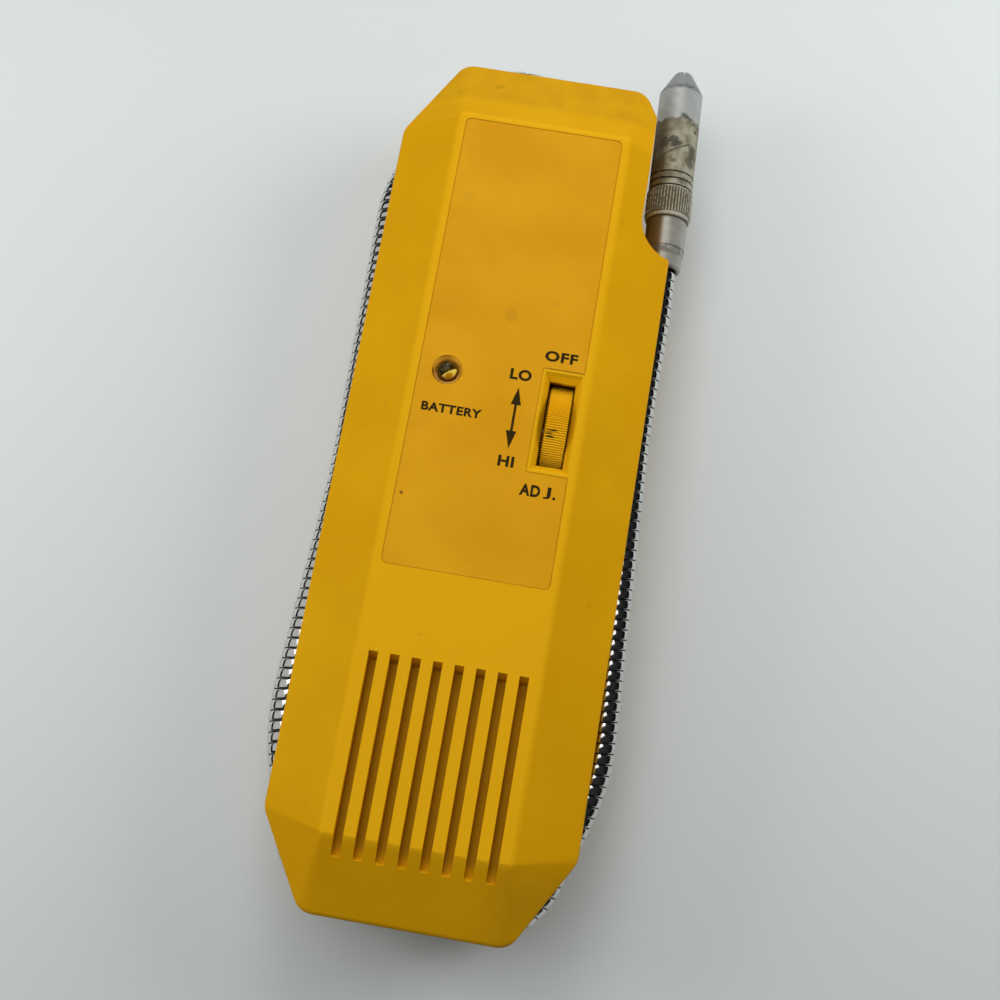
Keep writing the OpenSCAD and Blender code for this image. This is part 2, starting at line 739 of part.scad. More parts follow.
module thumbwheel() {
  r = wheel_d / 2;
  color([0.82, 0.63, 0.08]) translate([wheel_x, wheel_y, wheel_z]) rotate([0, 90, 0])
    difference() {
      translate([0, 0, -wheel_w / 2]) linear_extrude(wheel_w) difference() {
        polygon([
          for (i = [0 : 2 * wheel_ribs - 1])
            let (a = 180 * i / wheel_ribs, q = r - (i % 2) * wheel_rib_h) q * [cos(a), sin(a)]
        ]);
        circle(d = spindle_d + 0.04);
      }
      // Hollow outer side with a hub
      translate([0, 0, wheel_w / 2 - 2.5]) linear_extrude(3) difference() {
        circle(r = r - 2);
        circle(d = spindle_d + 4);
      }
    }
}
module wheel_spindle() {
  color([0.7, 0.7, 0.72]) translate([wheel_x - wheel_w / 2 - control_w + 0.6, wheel_y, wheel_z])
    rotate([0, 90, 0]) cylinder(d = spindle_d, h = control_w - 0.6 + wheel_w);
}
module sensitivity_control() {
  x1 = wheel_x - wheel_w / 2 - 0.5;
  color([0.25, 0.3, 0.28]) difference() {
    union() {
      translate([x1 - control_w, wheel_y, wheel_z]) rotate([0, 90, 0])
        cylinder(d = control_d, h = control_w);
      translate([x1 - control_w, wheel_y - control_d * 0.4, board_top])
        cube([control_w, control_d * 0.8, wheel_z - board_top]);
    }
    translate([x1 - control_w + 0.5, wheel_y, wheel_z]) rotate([0, 90, 0])
      cylinder(d = spindle_d + 0.08, h = control_w + 1);
  }
}

module circuit_board() {
  color([0.2, 0.42, 0.22]) translate([0, 0, board_z]) linear_extrude(board_t) difference() {
    intersection() {
      translate([board_x - board_w / 2, board_foot]) square([board_w, board_l]);
      inner_area(wall + 3 * seat_gap);
    }
    translate([wheel_x - slot_w / 2 - 0.5, board_foot - 1])
      square([slot_w + 1, wheel_y + wheel_d / 2 + 1.6 - board_foot]);
    for (p = board_screw_at) translate(p) circle(d = board_screw_d + 0.5);
    for (p = housing_screw_at) translate(p) circle(d = post_d + 1);
  }
}
module voltage_coil() {
  color([0.16, 0.15, 0.14]) translate([board_x - coil_d / 2, board_head - coil_d, board_top]) difference() {
    union() {
      cylinder(d = coil_d, h = coil_h);
      translate([0, 0, coil_h]) cylinder(d = coil_d * 0.4, h = 1);
    }
    for (z = [3, coil_h - 5]) translate([0, 0, z]) rotate_extrude()
      translate([coil_d / 2, 0]) square([2, 2], center = false);
    translate([0, 0, coil_h - 1]) cylinder(d = 3, h = 3);
  }
}
module capacitors() {
  color([0.1, 0.14, 0.3]) for (i = [0, 1])
    translate([board_x + 0.8 * capacitor_d, board_head - capacitor_d * (1.2 + 1.3 * i), board_top])
      rotate_extrude()
      polygon([
        [0, 0], [capacitor_d / 2, 0], [capacitor_d / 2, 1.5], [capacitor_d / 2 - 0.4, 2.1],
        [capacitor_d / 2, 2.7], [capacitor_d / 2, capacitor_h], [0, capacitor_h]
      ]);
}
module logic_chips() {
  color([0.1, 0.1, 0.11]) for (i = [0, 1])
    translate([board_x - 5, board_head - coil_d - chip_from_coil - chip_pitch * i, board_top]) {
      difference() {
        translate([-chip_l / 2, -chip_w / 2, 0.5]) cube([chip_l, chip_w, chip_t]);
        translate([chip_l / 2, 0, 2]) cylinder(d = 2, h = chip_t);
      }
      for (k = [-3 : 3], s = [-1, 1])
        translate([k * pin_pitch - 0.3, s * (chip_w / 2 + 0.4) - 0.5, 0]) cube([0.6, 1, 2.2]);
    }
}
module drive_transistor() {
  w = transistor_w;
  t = transistor_t;
  color([0.14, 0.14, 0.15]) translate([board_x + 16, wheel_y + wheel_d / 2 + 10.9, board_top]) {
    translate([-w / 2, -t / 2, 2]) cube([w, t, 0.9 * w]);
    translate([-w / 2, t / 2 - 1.3, w]) difference() {
      cube([w, 1.3, 0.7 * w]);
      translate([w / 2, -1, 0.36 * w]) rotate([-90, 0, 0]) cylinder(d = 0.34 * w, h = 4);
    }
    for (k = [-1 : 1]) translate([k * pin_pitch - 0.4, -0.3, 0]) cube([0.8, 0.6, 2.5]);
  }
}

module sounder() {
  color([0.12, 0.12, 0.12]) translate([0, grille_y, sounder_z]) mirror([0, 0, 1])
    rotate_extrude() polygon([
      [0, 0.6], [sounder_d / 2 - 4, 0.2], [sounder_d / 2 - 2, 0], [sounder_d / 2, 0],
      [sounder_d / 2, sounder_t - 1.4], [sounder_d * 0.3, sounder_t - 1.4],
      [sounder_d * 0.3 - 0.8, sounder_t], [0, sounder_t]
    ]);
}
module sounder_ring() {
  color([0.2, 0.2, 0.2]) translate([0, grille_y, sounder_z]) linear_extrude(pad_z - sounder_z)
    difference() {
      circle(d = sounder_d);
      circle(d = sounder_d - 5);
    }
}

module cell(y) {
  r = cell_d / 2;
  translate([0, y, cell_z]) rotate([-90, 0, 0]) rotate_extrude() polygon([
    [0, 0.3], [r - 4, 0.3], [r - 3, 0], [r - 0.8, 0], [r, 0.8], [r, cell_l - cell_button_h - 1],
    [r - 0.8, cell_l - cell_button_h], [r - 3, cell_l - cell_button_h],
    [cell_button_d / 2, cell_l - cell_button_h + 0.2], [cell_button_d / 2, cell_l - 0.3],
    [cell_button_d / 2 - 0.3, cell_l], [0, cell_l]
  ]);
}
module lower_cell() {
  color([0.7, 0.5, 0.3]) cell(cells_foot);
}
module upper_cell() {
  color([0.7, 0.5, 0.3]) cell(cells_foot + cell_l);
}
module lower_contact() {
  color([0.75, 0.75, 0.7]) translate([-plate_w / 2, spring_y, cell_z - plate_w / 2])
    cube([plate_w, plate_t, plate_w]);
}
module upper_contact() {
  color([0.75, 0.75, 0.7]) translate([-plate_w / 2, bulkhead_y - plate_t, cell_z - plate_w / 2])
    cube([plate_w, plate_t, plate_w]);
}
// Conical wire coil, its wide end on the contact plate
module contact_spring() {
  wire_r = 0.45;
  turns = 3.5;
  per_turn = 14;
  sides = 6;
  rings = turns * per_turn;
  r0 = 5.6;
  r1 = 3;
  run = spring_l - 2 * wire_r;
  points = [
    for (i = [0 : rings], j = [0 : sides - 1])
      let (a = 360 * i / per_turn, b = 360 * j / sides, r = r0 + (r1 - r0) * i / rings)
      let (q = r + wire_r * cos(b))
      [q * cos(a), q * sin(a), wire_r + run * i / rings + wire_r * sin(b)]
  ];
  color([0.75, 0.75, 0.7]) translate([0, spring_y + plate_t, cell_z]) rotate([-90, 0, 0])
    polyhedron(points, tube_faces(rings, sides));
}
// Faces of a tube whose rings follow each other, closed by flat ends
function tube_faces(rings, sides) = concat(
  [[for (j = [sides - 1 : -1 : 0]) j]],
  [for (i = [0 : rings - 1], j = [0 : sides - 1])
    let (a = i * sides + j, b = i * sides + (j + 1) % sides) [a, b, b + sides, a + sides]],
  [[for (j = [0 : sides - 1]) rings * sides + j]]
);

module housing_screws() {
  color([0.6, 0.6, 0.62]) for (p = housing_screw_at) translate([p[0], p[1], screw_sunk])
    difference() {
      union() {
        cylinder(d = screw_head_d, h = screw_head_h);
        cylinder(d = screw_d, h = screw_head_h + screw_l);
      }
      for (a = [0, 90]) rotate(a) translate([-1.6, -0.4, -0.1]) cube([3.2, 0.8, 1.3]);
    }
}
module board_screws() {
  color([0.7, 0.7, 0.72]) for (p = board_screw_at) translate([p[0], p[1], board_top])
    difference() {
      union() {
        cylinder(d = board_screw_d * 1.9, h = 1.6);
        translate([0, 0, -board_screw_l]) cylinder(d = board_screw_d, h = board_screw_l);
      }
      translate([-3, -0.3, 1]) cube([6, 0.6, 1]);
    }
}

// Gland clamped in the head wall, with its lock nut inside
module neck_gland() {
  color([0.72, 0.72, 0.74]) translate([neck_x, core_head, mid_z]) rotate([-90, 0, 0])
    difference() {
      union() {
        cylinder(d = gland_d, h = gland_t);
        translate([0, 0, -wall - gland_l]) cylinder(d = gland_neck_d, h = wall + gland_l + gland_t);
      }
      translate([0, 0, -neck_in_gland]) cylinder(d = neck_d + seat_gap, h = neck_in_gland + gland_t + 1);
      translate([0, 0, -wall - gland_l - 1]) cylinder(d = neck_d - 3, h = wall + gland_l);
    }
}
module gland_nut() {
  color([0.72, 0.72, 0.74]) translate([neck_x, core_head - wall - nut_t, mid_z])
    rotate([-90, 0, 0]) difference() {
      rotate(30) cylinder(d = gland_d + 1.4, h = nut_t, $fn = 6);
      translate([0, 0, -1]) cylinder(d = gland_neck_d + 0.06, h = nut_t + 2);
    }
}

// Helical surface of the gooseneck: two rows of points for every turn, crest and furrow.
// The grid closes on itself one turn, or two rows, further along.
module gooseneck() {
  n = neck_sides;
  turns = floor(neck_l / neck_pitch) - 1;
  step = (neck_l - eps) / (turns + 1);
  last = 2 * turns;
  foot_hub = (last + 1) * n + 2;
  points = concat(
    [for (i = [0 : last], j = [0 : n - 1]) neck_point(step * (i / 2 + j / n), i, 360 * j / n)],
    [for (i = [last + 1, last + 2]) neck_point(step * i / 2, i, 0)],
    [for (s = [step / 2, step * (turns + 0.5)]) neck_point(s, 0, 0, 0)]
  );
  faces = concat(
    [for (i = [0 : last - 1], j = [0 : n - 1]) [
      neck_index(i, j, n, last), neck_index(i, j + 1, n, last),
      neck_index(i + 1, j + 1, n, last), neck_index(i + 1, j, n, last)
    ]],
    [for (j = [0 : n - 1]) [foot_hub, neck_index(0, j + 1, n, last), neck_index(0, j, n, last)]],
    [for (i = [0, 1]) [foot_hub, neck_index(i, 0, n, last), neck_index(i + 1, 0, n, last)]],
    [for (j = [0 : n - 1])
      [foot_hub + 1, neck_index(last, j, n, last), neck_index(last, j + 1, n, last)]],
    [for (i = [last, last + 1])
      [foot_hub + 1, neck_index(i + 1, 0, n, last), neck_index(i, 0, n, last)]]
  );
  color([0.75, 0.76, 0.78]) translate([0, 0, mid_z]) polyhedron(points, faces);
}
function neck_point(s, row, a, scale = 1) =
  let (q = on_route(s), r = scale * (neck_r - (row % 2) * neck_furrow))
  [q[0] + r * cos(a) * sin(q[2]), q[1] - r * cos(a) * cos(q[2]), r * sin(a)];
function neck_index(i, j, n, last) =
  j == n ? neck_index(i + 2, 0, n, last) : i <= last ? i * n + j : (last + 1) * n + i - last - 1;

module in_tip() {
  translate([tip_at[0], tip_at[1], mid_z]) rotate([0, 0, tip_h - 90]) rotate([-90, 0, 0])
    children();
}
module ferrule() {
  color([0.78, 0.79, 0.8]) in_tip() difference() {
    rotate_extrude() polygon([
      [0, 0], [ferrule_d / 2 - 0.5, 0], [ferrule_d / 2 - 0.1, 0.5],
      [ferrule_d / 2, ferrule_l - 2.2], [barrel_d / 2 - 0.1, ferrule_l - 1.4],
      [barrel_d / 2 - 0.1, ferrule_l], [0, ferrule_l]
    ]);
    translate([0, 0, -1]) cylinder(d = neck_d + seat_gap, h = 1 + neck_in_ferrule + seat_gap);
  }
}
module sensor_holder() {
  r = spigot_d / 2;
  color([0.8, 0.81, 0.82]) in_tip() rotate_extrude() polygon([
    [0, barrel_w], [barrel_d / 2 - 0.2, barrel_w], [barrel_d / 2, barrel_w + 0.3],
    [barrel_d / 2, cap_w - 0.3], [barrel_d / 2 - 0.3, cap_w],
    [r, cap_w], [r, cap_w + spigot_l - 0.5], [r - 0.5, cap_w + spigot_l], [0, cap_w + spigot_l]
  ]);
}
// Plug-in sensing element: insulating stem with a wire guard round its point
module sensing_element() {
  w0 = cap_w + spigot_l;
  color([0.85, 0.84, 0.8]) in_tip() {
    translate([0, 0, w0]) cylinder(d = 6.4, h = 6);
    translate([0, 0, w0 + 6]) cylinder(d = 4, h = 7);
    translate([0, 0, w0 + 13]) cylinder(d1 = 2, d2 = 0.6, h = 5);
    for (a = [0 : 120 : 240]) rotate(a) translate([2.6, 0, w0 + 6]) cylinder(d = 0.9, h = 12);
    translate([0, 0, w0 + 17.6]) rotate_extrude() translate([2.6, 0]) circle(d = 0.9);
  }
}
module cap_seal() {
  color([0.1, 0.1, 0.1]) in_tip() translate([0, 0, cap_w + 0.02]) linear_extrude(1) difference() {
    circle(d = barrel_d - 1);
    circle(d = spigot_d + 0.1);
  }
}
module tip_cap() {
  k0 = cap_w + cap_lip_l;
  rings_w = k0 + knurl_l + 0.35;
  cap_end = cap_w + cap_l;
  shoulder = cap_end - nose_l;
  r = cap_d / 2;
  color([0.74, 0.73, 0.7]) in_tip() difference() {
    union() {
      rotate_extrude() polygon([
        [0, cap_w], [r - 0.3, cap_w], [r, cap_w + 0.3], [r, shoulder],
        [r - 0.5, shoulder + 1], [nose_d / 2 + 0.6, cap_end - 0.9],
        [nose_d / 2 + 0.25, cap_end - 0.4], [nose_d / 2 - 0.3, cap_end - 0.08],
        [nose_d / 2 - 0.9, cap_end], [0, cap_end]
      ]);
      translate([0, 0, k0]) linear_extrude(knurl_l) polygon([
        for (i = [0 : 2 * knurl_n - 1])
          let (a = 180 * i / knurl_n, q = knurl_d / 2 - (i % 2) * knurl_h) q * [cos(a), sin(a)]
      ]);
    }
    translate([0, 0, cap_w - 1]) cylinder(d = barrel_d - 0.9, h = 1 + 1.1);
    translate([0, 0, cap_w]) cylinder(d = cap_bore, h = cap_l - nose_l - 2);
    translate([0, 0, shoulder - 2.5])
      cylinder(d1 = cap_bore, d2 = nose_d - 2, h = nose_l + 2.9 - air_slot_l);
    for (i = [0 : 2]) translate([0, 0, rings_w + i * ring_pitch]) rotate_extrude()
      translate([r - ring_depth, 0]) square([2, ring_w]);
    for (a = [0, 90]) rotate(a) translate([-5, -air_slot_w / 2, cap_end - air_slot_l])
      cube([10, air_slot_w, 4]);
  }
}

front_housing();
rear_housing();
battery_door();
label_panel();
battery_lamp();
lamp_spacer();
thumbwheel();
wheel_spindle();
sensitivity_control();
circuit_board();
voltage_coil();
capacitors();
logic_chips();
drive_transistor();
sounder();
sounder_ring();
lower_cell();
upper_cell();
contact_spring();
lower_contact();
upper_contact();
housing_screws();
board_screws();
neck_gland();
gland_nut();
gooseneck();
ferrule();
sensor_holder();
sensing_element();
cap_seal();
tip_cap();
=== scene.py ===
# %% [markdown]
# # A handheld refrigerant leak detector
# A fitter holds this yellow box in one hand. A flexible steel neck runs round it in a groove and
# carries a small sensor under a knurled cap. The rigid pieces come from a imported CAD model, which
# is loaded first and never moved. This script gives each of them its finish, and models what the
# CAD leaves plain: the wound steel neck, the lettering, the lamp and the worn sensor cap.

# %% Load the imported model
import math

import bpy
from mathutils import Matrix, Vector


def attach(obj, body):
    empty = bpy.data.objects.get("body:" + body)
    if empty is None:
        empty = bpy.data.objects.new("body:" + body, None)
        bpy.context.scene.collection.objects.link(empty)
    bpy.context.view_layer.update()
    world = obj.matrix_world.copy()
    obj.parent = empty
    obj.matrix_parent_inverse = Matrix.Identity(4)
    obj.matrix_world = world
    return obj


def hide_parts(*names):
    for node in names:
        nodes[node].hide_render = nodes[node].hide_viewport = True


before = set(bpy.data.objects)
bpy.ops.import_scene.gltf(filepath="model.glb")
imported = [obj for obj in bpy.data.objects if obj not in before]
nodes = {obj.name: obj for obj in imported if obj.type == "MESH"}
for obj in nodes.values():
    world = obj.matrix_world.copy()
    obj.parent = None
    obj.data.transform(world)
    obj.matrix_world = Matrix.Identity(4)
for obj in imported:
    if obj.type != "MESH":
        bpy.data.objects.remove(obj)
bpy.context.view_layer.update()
MM = 0.001

# %% [markdown]
# ## Camera
# The detector was photographed from above and a little from its foot, from about 30 cm. A camera
# that near gives strong perspective, so its place matters as much as its angle. The turn below
# takes a point of the detector into the camera's own axes, and the camera stands where that turn
# and the offset say, measured from the edge where the sloping faces meet the sides.

# %% Place the camera
TILT = Matrix.Rotation(0.216, 3, Vector((-0.216, 0.002, 0)).normalized())
TURN = TILT @ Matrix.Rotation(-0.17, 3, "Z")
OFFSET = Vector((-3.764, 7.254, -304.098)) * MM
EDGE_HEIGHT = 34.3 * MM
FOCAL_PIXELS = 1202
IMAGE_PIXELS = 1000

view = bpy.data.cameras.new("view")
view.sensor_width = 36
view.lens = FOCAL_PIXELS * view.sensor_width / IMAGE_PIXELS
view.clip_start = 0.01
camera = bpy.data.objects.new("camera", view)
bpy.context.scene.collection.objects.link(camera)
camera.matrix_world = (
    Matrix.Translation(TURN.transposed() @ -OFFSET + Vector((0, 0, EDGE_HEIGHT)))
    @ TURN.transposed().to_4x4()
)
bpy.context.scene.camera = camera
bpy.context.scene.view_settings.view_transform = "Standard"
print("camera at", [round(c / MM) for c in camera.matrix_world.translation], "mm")

# %% [markdown]
# ## Shader maths
# A finish is a tree of nodes, and its maths reads best as plain expressions. Value wraps one
# output socket, so that `1 - mask * 0.5` adds the Math nodes by itself. NodeTree makes any node
# from its type, its settings and its inputs. Finish is the tree of one material, with the few
# patterns that moulded plastic and worn metal need. Its lengths are in millimetres.

# %% Wrap a socket so that Python's operators add Math nodes
class Value:
    """A number that changes over the surface."""

    def __init__(self, tree, socket):
        self.tree, self.socket = tree, socket

    def maths(self, operation, *numbers):
        return self.tree.add("Math", {"operation": operation}, dict(enumerate(numbers)))

    def __add__(self, other):
        return self.maths("ADD", self, other)

    def __sub__(self, other):
        return self.maths("SUBTRACT", self, other)

    def __rsub__(self, other):
        return self.maths("SUBTRACT", other, self)

    def __mul__(self, other):
        return self.maths("MULTIPLY", self, other)

    def __pow__(self, other):
        return self.maths("POWER", self, other)

    __radd__ = __add__

    def absolute(self):
        return self.maths("ABSOLUTE", self)

    def most(self, other):
        return self.maths("MAXIMUM", self, other)

    def between(self, low, high):
        """0 below low, 1 above high, with a soft step between. high may be the lower one."""
        settings = {"interpolation_type": "SMOOTHSTEP"}
        return self.tree.add("MapRange", settings, {"Value": self, 1: low, 2: high})

    def band(self, start, full, wane, end):
        """0 up to start, 1 from full to wane, and 0 again from end on."""
        return self.between(start, full) * self.between(end, wane)

    def near(self, middle, inner, outer):
        """1 up to inner on both sides of the middle, and 0 from outer on."""
        return (self - middle).absolute().between(outer, inner)


def distance(across, along):
    """The distance from the point where both are 0."""
    return (across * across + along * along) ** 0.5


def outside(x, y, middle, half):
    """How far a place lies outside a rectangle, negative inside it."""
    return ((x - middle[0]).absolute() - half[0]).most((y - middle[1]).absolute() - half[1])


# %% A tree of nodes, and the one material that it makes
class NodeTree:
    """A tree of shader nodes, and short ways to add to it."""

    def __init__(self, tree):
        self.nodes, self.links = tree.nodes, tree.links

    def add(self, kind, settings, inputs, output=None):
        """A new node, of which the named output is returned, or else the first in use."""
        node = self.nodes.new("ShaderNode" + kind)
        for setting, choice in settings.items():
            setattr(node, setting, choice)
        for socket, source in inputs.items():
            self.feed(node.inputs[socket], source)
        if output is None:
            return Value(self, next(s for s in node.outputs if s.enabled))
        return Value(self, node.outputs[output])

    def feed(self, socket, source):
        """A socket gets a link, a colour or a plain number."""
        if isinstance(source, Value):
            self.links.new(source.socket, socket)
        elif isinstance(source, bpy.types.NodeSocket):
            self.links.new(source, socket)
        elif isinstance(source, tuple) and socket.type == "RGBA":
            socket.default_value = (*source, 1)
        else:
            socket.default_value = source

    def mix(self, amount, first, second):
        """A colour between two colours."""
        return self.add("Mix", {"data_type": "RGBA"}, {0: amount, 6: first, 7: second}, 2)

    def painted(self, colour, *layers):
        """A colour with layers on it, each an amount and the colour that it brings."""
        for amount, paint in layers:
            colour = self.mix(amount, colour, paint)
        return colour


class Finish(NodeTree):
    """A material with its Principled shader, and the patterns that vary it."""

    def __init__(self, name, **uniform):
        self.material = bpy.data.materials.new(name)
        self.material.use_nodes = True
        super().__init__(self.material.node_tree)
        self.shader = self.nodes["Principled BSDF"]
        self.place = self.add("TexCoord", {}, {}, "Object")
        for setting, number in uniform.items():
            socket = setting.replace("_", " ").title().replace("Ior", "IOR")
            self.shader.inputs[socket].default_value = number

    def set(self, socket, source):
        self.feed(self.shader.inputs[socket], source)

    def noise(self, size, detail=2.0, roughness=0.5):
        """Cloudy noise from 0 to 1, with clouds of about that size."""
        inputs = {"Vector": self.place, "Scale": 1 / (size * MM), "Detail": detail}
        return self.add("TexNoise", {}, inputs | {"Roughness": roughness}, "Fac")

    def axes(self, place=None, unit=MM):
        """The three coordinates of a place."""
        split = self.nodes.new("ShaderNodeSeparateXYZ")
        self.feed(split.inputs[0], place or self.place)
        return [Value(self, socket) * (1 / unit) for socket in split.outputs]

    def placed(self, at, turn=0.0, stretch=(1, 1, 1)):
        """Object coordinates as seen from a point, turned about the face's normal."""
        inputs = {"Vector": self.place, "Location": Vector(at) * MM, "Scale": stretch}
        settings = {"vector_type": "TEXTURE"}
        return self.add("Mapping", settings, inputs | {"Rotation": (0, 0, turn)})

    def spot(self, at, radii, turn=0.0):
        """A soft ball, 1 in its middle and 0 where its radii end."""
        place = self.placed(at, turn, Vector(radii) * MM)
        return self.add("TexGradient", {"gradient_type": "SPHERICAL"}, {"Vector": place}, "Fac")

    def bump(self, height, depth):
        self.set("Normal", self.add("Bump", {}, {"Distance": depth * MM, "Height": height}))


def dress(finish, *names):
    """CAD nodes get a finish."""
    for name in names:
        nodes[name].data.materials.clear()
        nodes[name].data.materials.append(finish.material)


# %% [markdown]
# ## Moulded housing plastic
# The shells, the door and the thumbwheel are moulded in one yellow plastic with a fine sparked
# grain. The grain is far finer than any wall, so it is a bump from noise and not geometry. The
# colour wavers a little where hands have rubbed it. This first function gives that plastic, and
# leaves its colour open, so that each piece can add its own dirt on top.

# %% Yellow plastic
YELLOW = (0.685, 0.345, 0.003)
DEEP_YELLOW = (0.63, 0.30, 0.002)
PALE_YELLOW = (0.73, 0.385, 0.005)
GRIME_AND_SHADE = (0.17, 0.08, 0.008)


def moulded(name, dirt=0.35):
    finish = Finish(name, specular_ior_level=0.04)
    rubbed = finish.noise(28, 4, 0.55).between(0.35, 0.7)
    specks = finish.noise(1.3, 3, 0.7).between(0.68, 0.8)
    stains = finish.noise(9, 5, 0.65).between(0.66, 0.8)
    colour = finish.painted(
        finish.mix(rubbed, DEEP_YELLOW, PALE_YELLOW),
        (0.55, YELLOW), (specks * 0.25 * dirt, GRIME_AND_SHADE), (stains * 0.3 * dirt, GRIME_AND_SHADE),
    )
    finish.set("Roughness", 0.5 + finish.noise(0.8, 3) * 0.16)
    finish.bump(finish.noise(0.42, 3, 0.6) + finish.noise(1.6, 2) * 0.6, 0.03)
    return finish, colour


# %% [markdown]
# The floors of the grille's grooves are painted a darker brown. They are picked by their
# depth under the face, and under the sloping foot, so the ribs between them keep the plain
# colour. The countersink round the lamp is painted orange, partly its own tint and partly painted
# light on its shaded wall, with a dark rim and line and a painted highlight, a bright arc, at its
# foot. The well of the thumbwheel has a painted highlight where its slope at the head catches the
# light, and a painted shadow along the edge of the slot, mostly on the left.

# %% Darker groove floors, painted light and shade on the face, lamp ring and well, and a few marks
FACE = 42
FOOT_SLOPE_Y, FOOT_SLOPE_FALL = -92.7, 0.397
LAMP = (-13.5, 22.5)
WHEEL = (15.8, 13.4, 30.3)

housing_plastic, colour = moulded("yellow_plastic")
x, y, z = housing_plastic.axes()
depth = FACE - (FOOT_SLOPE_Y - y).most(0) * FOOT_SLOPE_FALL - z
in_grille = x.near(0, 20.6, 21.0) * y.band(-99.8, -99.2, -49.6, -49.2)
on_face = z.between(41.3, 41.9)
hazy = housing_plastic.noise(6, 4, 0.6).between(0.3, 0.7)
at_head = y.between(98, 101) * on_face.between(0.9, 0.1)
at_foot_right = y.between(-90, -98) * x.between(14, 24)
colour = housing_plastic.painted(
    colour,
    (in_grille * depth.band(1.6, 3.0, 5, 6) * 0.38, (0.16, 0.07, 0.01)),
    # Painted light: the top face is painted paler than the sloping sides.
    (on_face * 0.85, (0.785, 0.405, 0.006)),
    # Painted shade on the head's slope and the foot's right corner, in hazy patches.
    ((at_head + at_foot_right) * (0.08 + hazy * 0.12), GRIME_AND_SHADE),
)

up_lamp = y - LAMP[1]
radius = distance(x - LAMP[0], up_lamp)
near_lamp = z.between(37.5, 38)
arc = radius.band(2.9, 3.0, 3.15, 3.3) * up_lamp.between(-0.4, -1.2)
dark_line = radius.band(3.4, 3.55, 3.8, 3.95) * up_lamp.between(0.6, -0.6)
colour = housing_plastic.painted(
    colour,
    # The orange is partly the ring's own tint and partly painted light on its shaded wall.
    (radius.between(3.95, 3.75) * near_lamp * 0.85, (1.0, 0.52, 0.05)),
    (radius.band(2.6, 2.75, 3.0, 3.2) * near_lamp * 0.8, (0.42, 0.15, 0.012)),
    # A painted highlight: the bright arc at the ring's foot.
    (arc * near_lamp, (1.0, 0.66, 0.25)),
    (dark_line * near_lamp * 0.85, (0.22, 0.035, 0.003)),
)

in_well = x.near(15.5, 5.8, 6.2) * y.near(WHEEL[1], 13.8, 14.2)
from_slot = (x - WHEEL[0]).absolute()
head_slope = (y - 24.1 - (from_slot - 3.1).most(0)).between(0, 0.25) * z.between(41.7, 41.3)
slot_edge = from_slot.between(3.6, 3.35) * y.near(13.1, 10.9, 11.2) * z.between(41.6, 41.3)
left_side = x.between(16, 15)
colour = housing_plastic.painted(
    colour,
    # A painted highlight on the head slope of the wheel's well.
    (in_well * head_slope * 0.85, (0.96, 0.47, 0.003)),
    # Painted shadow along the edge of the slot, mostly on the left.
    (in_well * slot_edge * (0.25 + left_side * 0.55), (0.14, 0.035, 0.003)),
)

MARKS = [
    ((-14.2, 105.0, 37.5), (2.6, 0.8, 3.0), 35, 0.22),
    ((24.0, 70.0, 41.0), (0.9, 1.4, 3.0), -20, 0.10),
    ((-27.5, 12.0, 40.0), (0.7, 1.6, 3.0), 15, 0.12),
    ((-8.0, -44.0, 42.0), (1.2, 0.7, 3.0), 0, 0.10),
    ((31.0, -30.0, 37.0), (0.8, 0.8, 3.0), 0, 0.15),
]
for at, radii, turn, strength in MARKS:
    mark = housing_plastic.spot(at, radii, math.radians(turn)).between(0, 0.6)
    colour = housing_plastic.mix(mark * strength, colour, GRIME_AND_SHADE)
housing_plastic.set("Base Color", colour)
dress(housing_plastic, "front_housing", "rear_housing", "battery_door")
print("yellow plastic:", len(housing_plastic.nodes), "nodes")

# %% [markdown]
# The wheel is handled most. It is painted paler than the housing, and paler still towards the foot,
# as painted light. Painted shade lies at the roots of its ribs, more towards the foot, it is darker
# in patches at its foot end, and painted shadow lines its left and right edges. Three dark smears
# cross its left half. The roots are found by their distance from the axle.

# %% Thumbwheel with painted light and shade on its ribs, and dark smears
wheel_plastic, colour = moulded("wheel_plastic", dirt=0.2)
x, y, z = wheel_plastic.axes()
roots = distance(z - WHEEL[2], y - WHEEL[1]).band(11.6, 11.9, 12.25, 12.45)
patchy = wheel_plastic.noise(1.5, 3, 0.6)
left_margin, right_margin = x.between(13.35, 13.1), x.between(18.5, 18.65)
colour = wheel_plastic.painted(
    colour,
    # Painted light: the wheel is paler than the housing, and paler still towards the foot.
    (0.8, (0.84, 0.44, 0.006)),
    (y.between(16, 4), (0.98, 0.55, 0.012)),
    # Painted shade at the roots of the ribs.
    (roots * (0.1 + y.between(18, 12) * 0.16), (0.36, 0.15, 0.006)),
    # Darker in patches at the foot end.
    (y.between(3.6, 1.6) * (0.1 + patchy * 0.3), GRIME_AND_SHADE),
    # Painted shadow along the wheel's left and right edges.
    (left_margin * 0.85 + right_margin * 0.5, (0.12, 0.03, 0.002)),
)
SMEARS = [((15.0, 11.2), (1.9, 0.34)), ((14.3, 10.4), (1.1, 0.26)), ((14.7, 9.6), (1.5, 0.34))]
for at, radii in SMEARS:
    smear = wheel_plastic.spot((*at, FACE), (*radii, 3)).between(0, 0.5)
    colour = wheel_plastic.mix(smear * patchy.between(0.25, 0.5), colour, (0.05, 0.04, 0.006))
wheel_plastic.set("Base Color", colour)
dress(wheel_plastic, "thumbwheel")

# %% [markdown]
# ## Label film
# The printed film in the front recess is a warmer orange than the plastic and a little smoother.
# It has gone cloudy and it carries a few small stains, and painted shadow lines its edges and the
# window that it leaves open for the wheel.

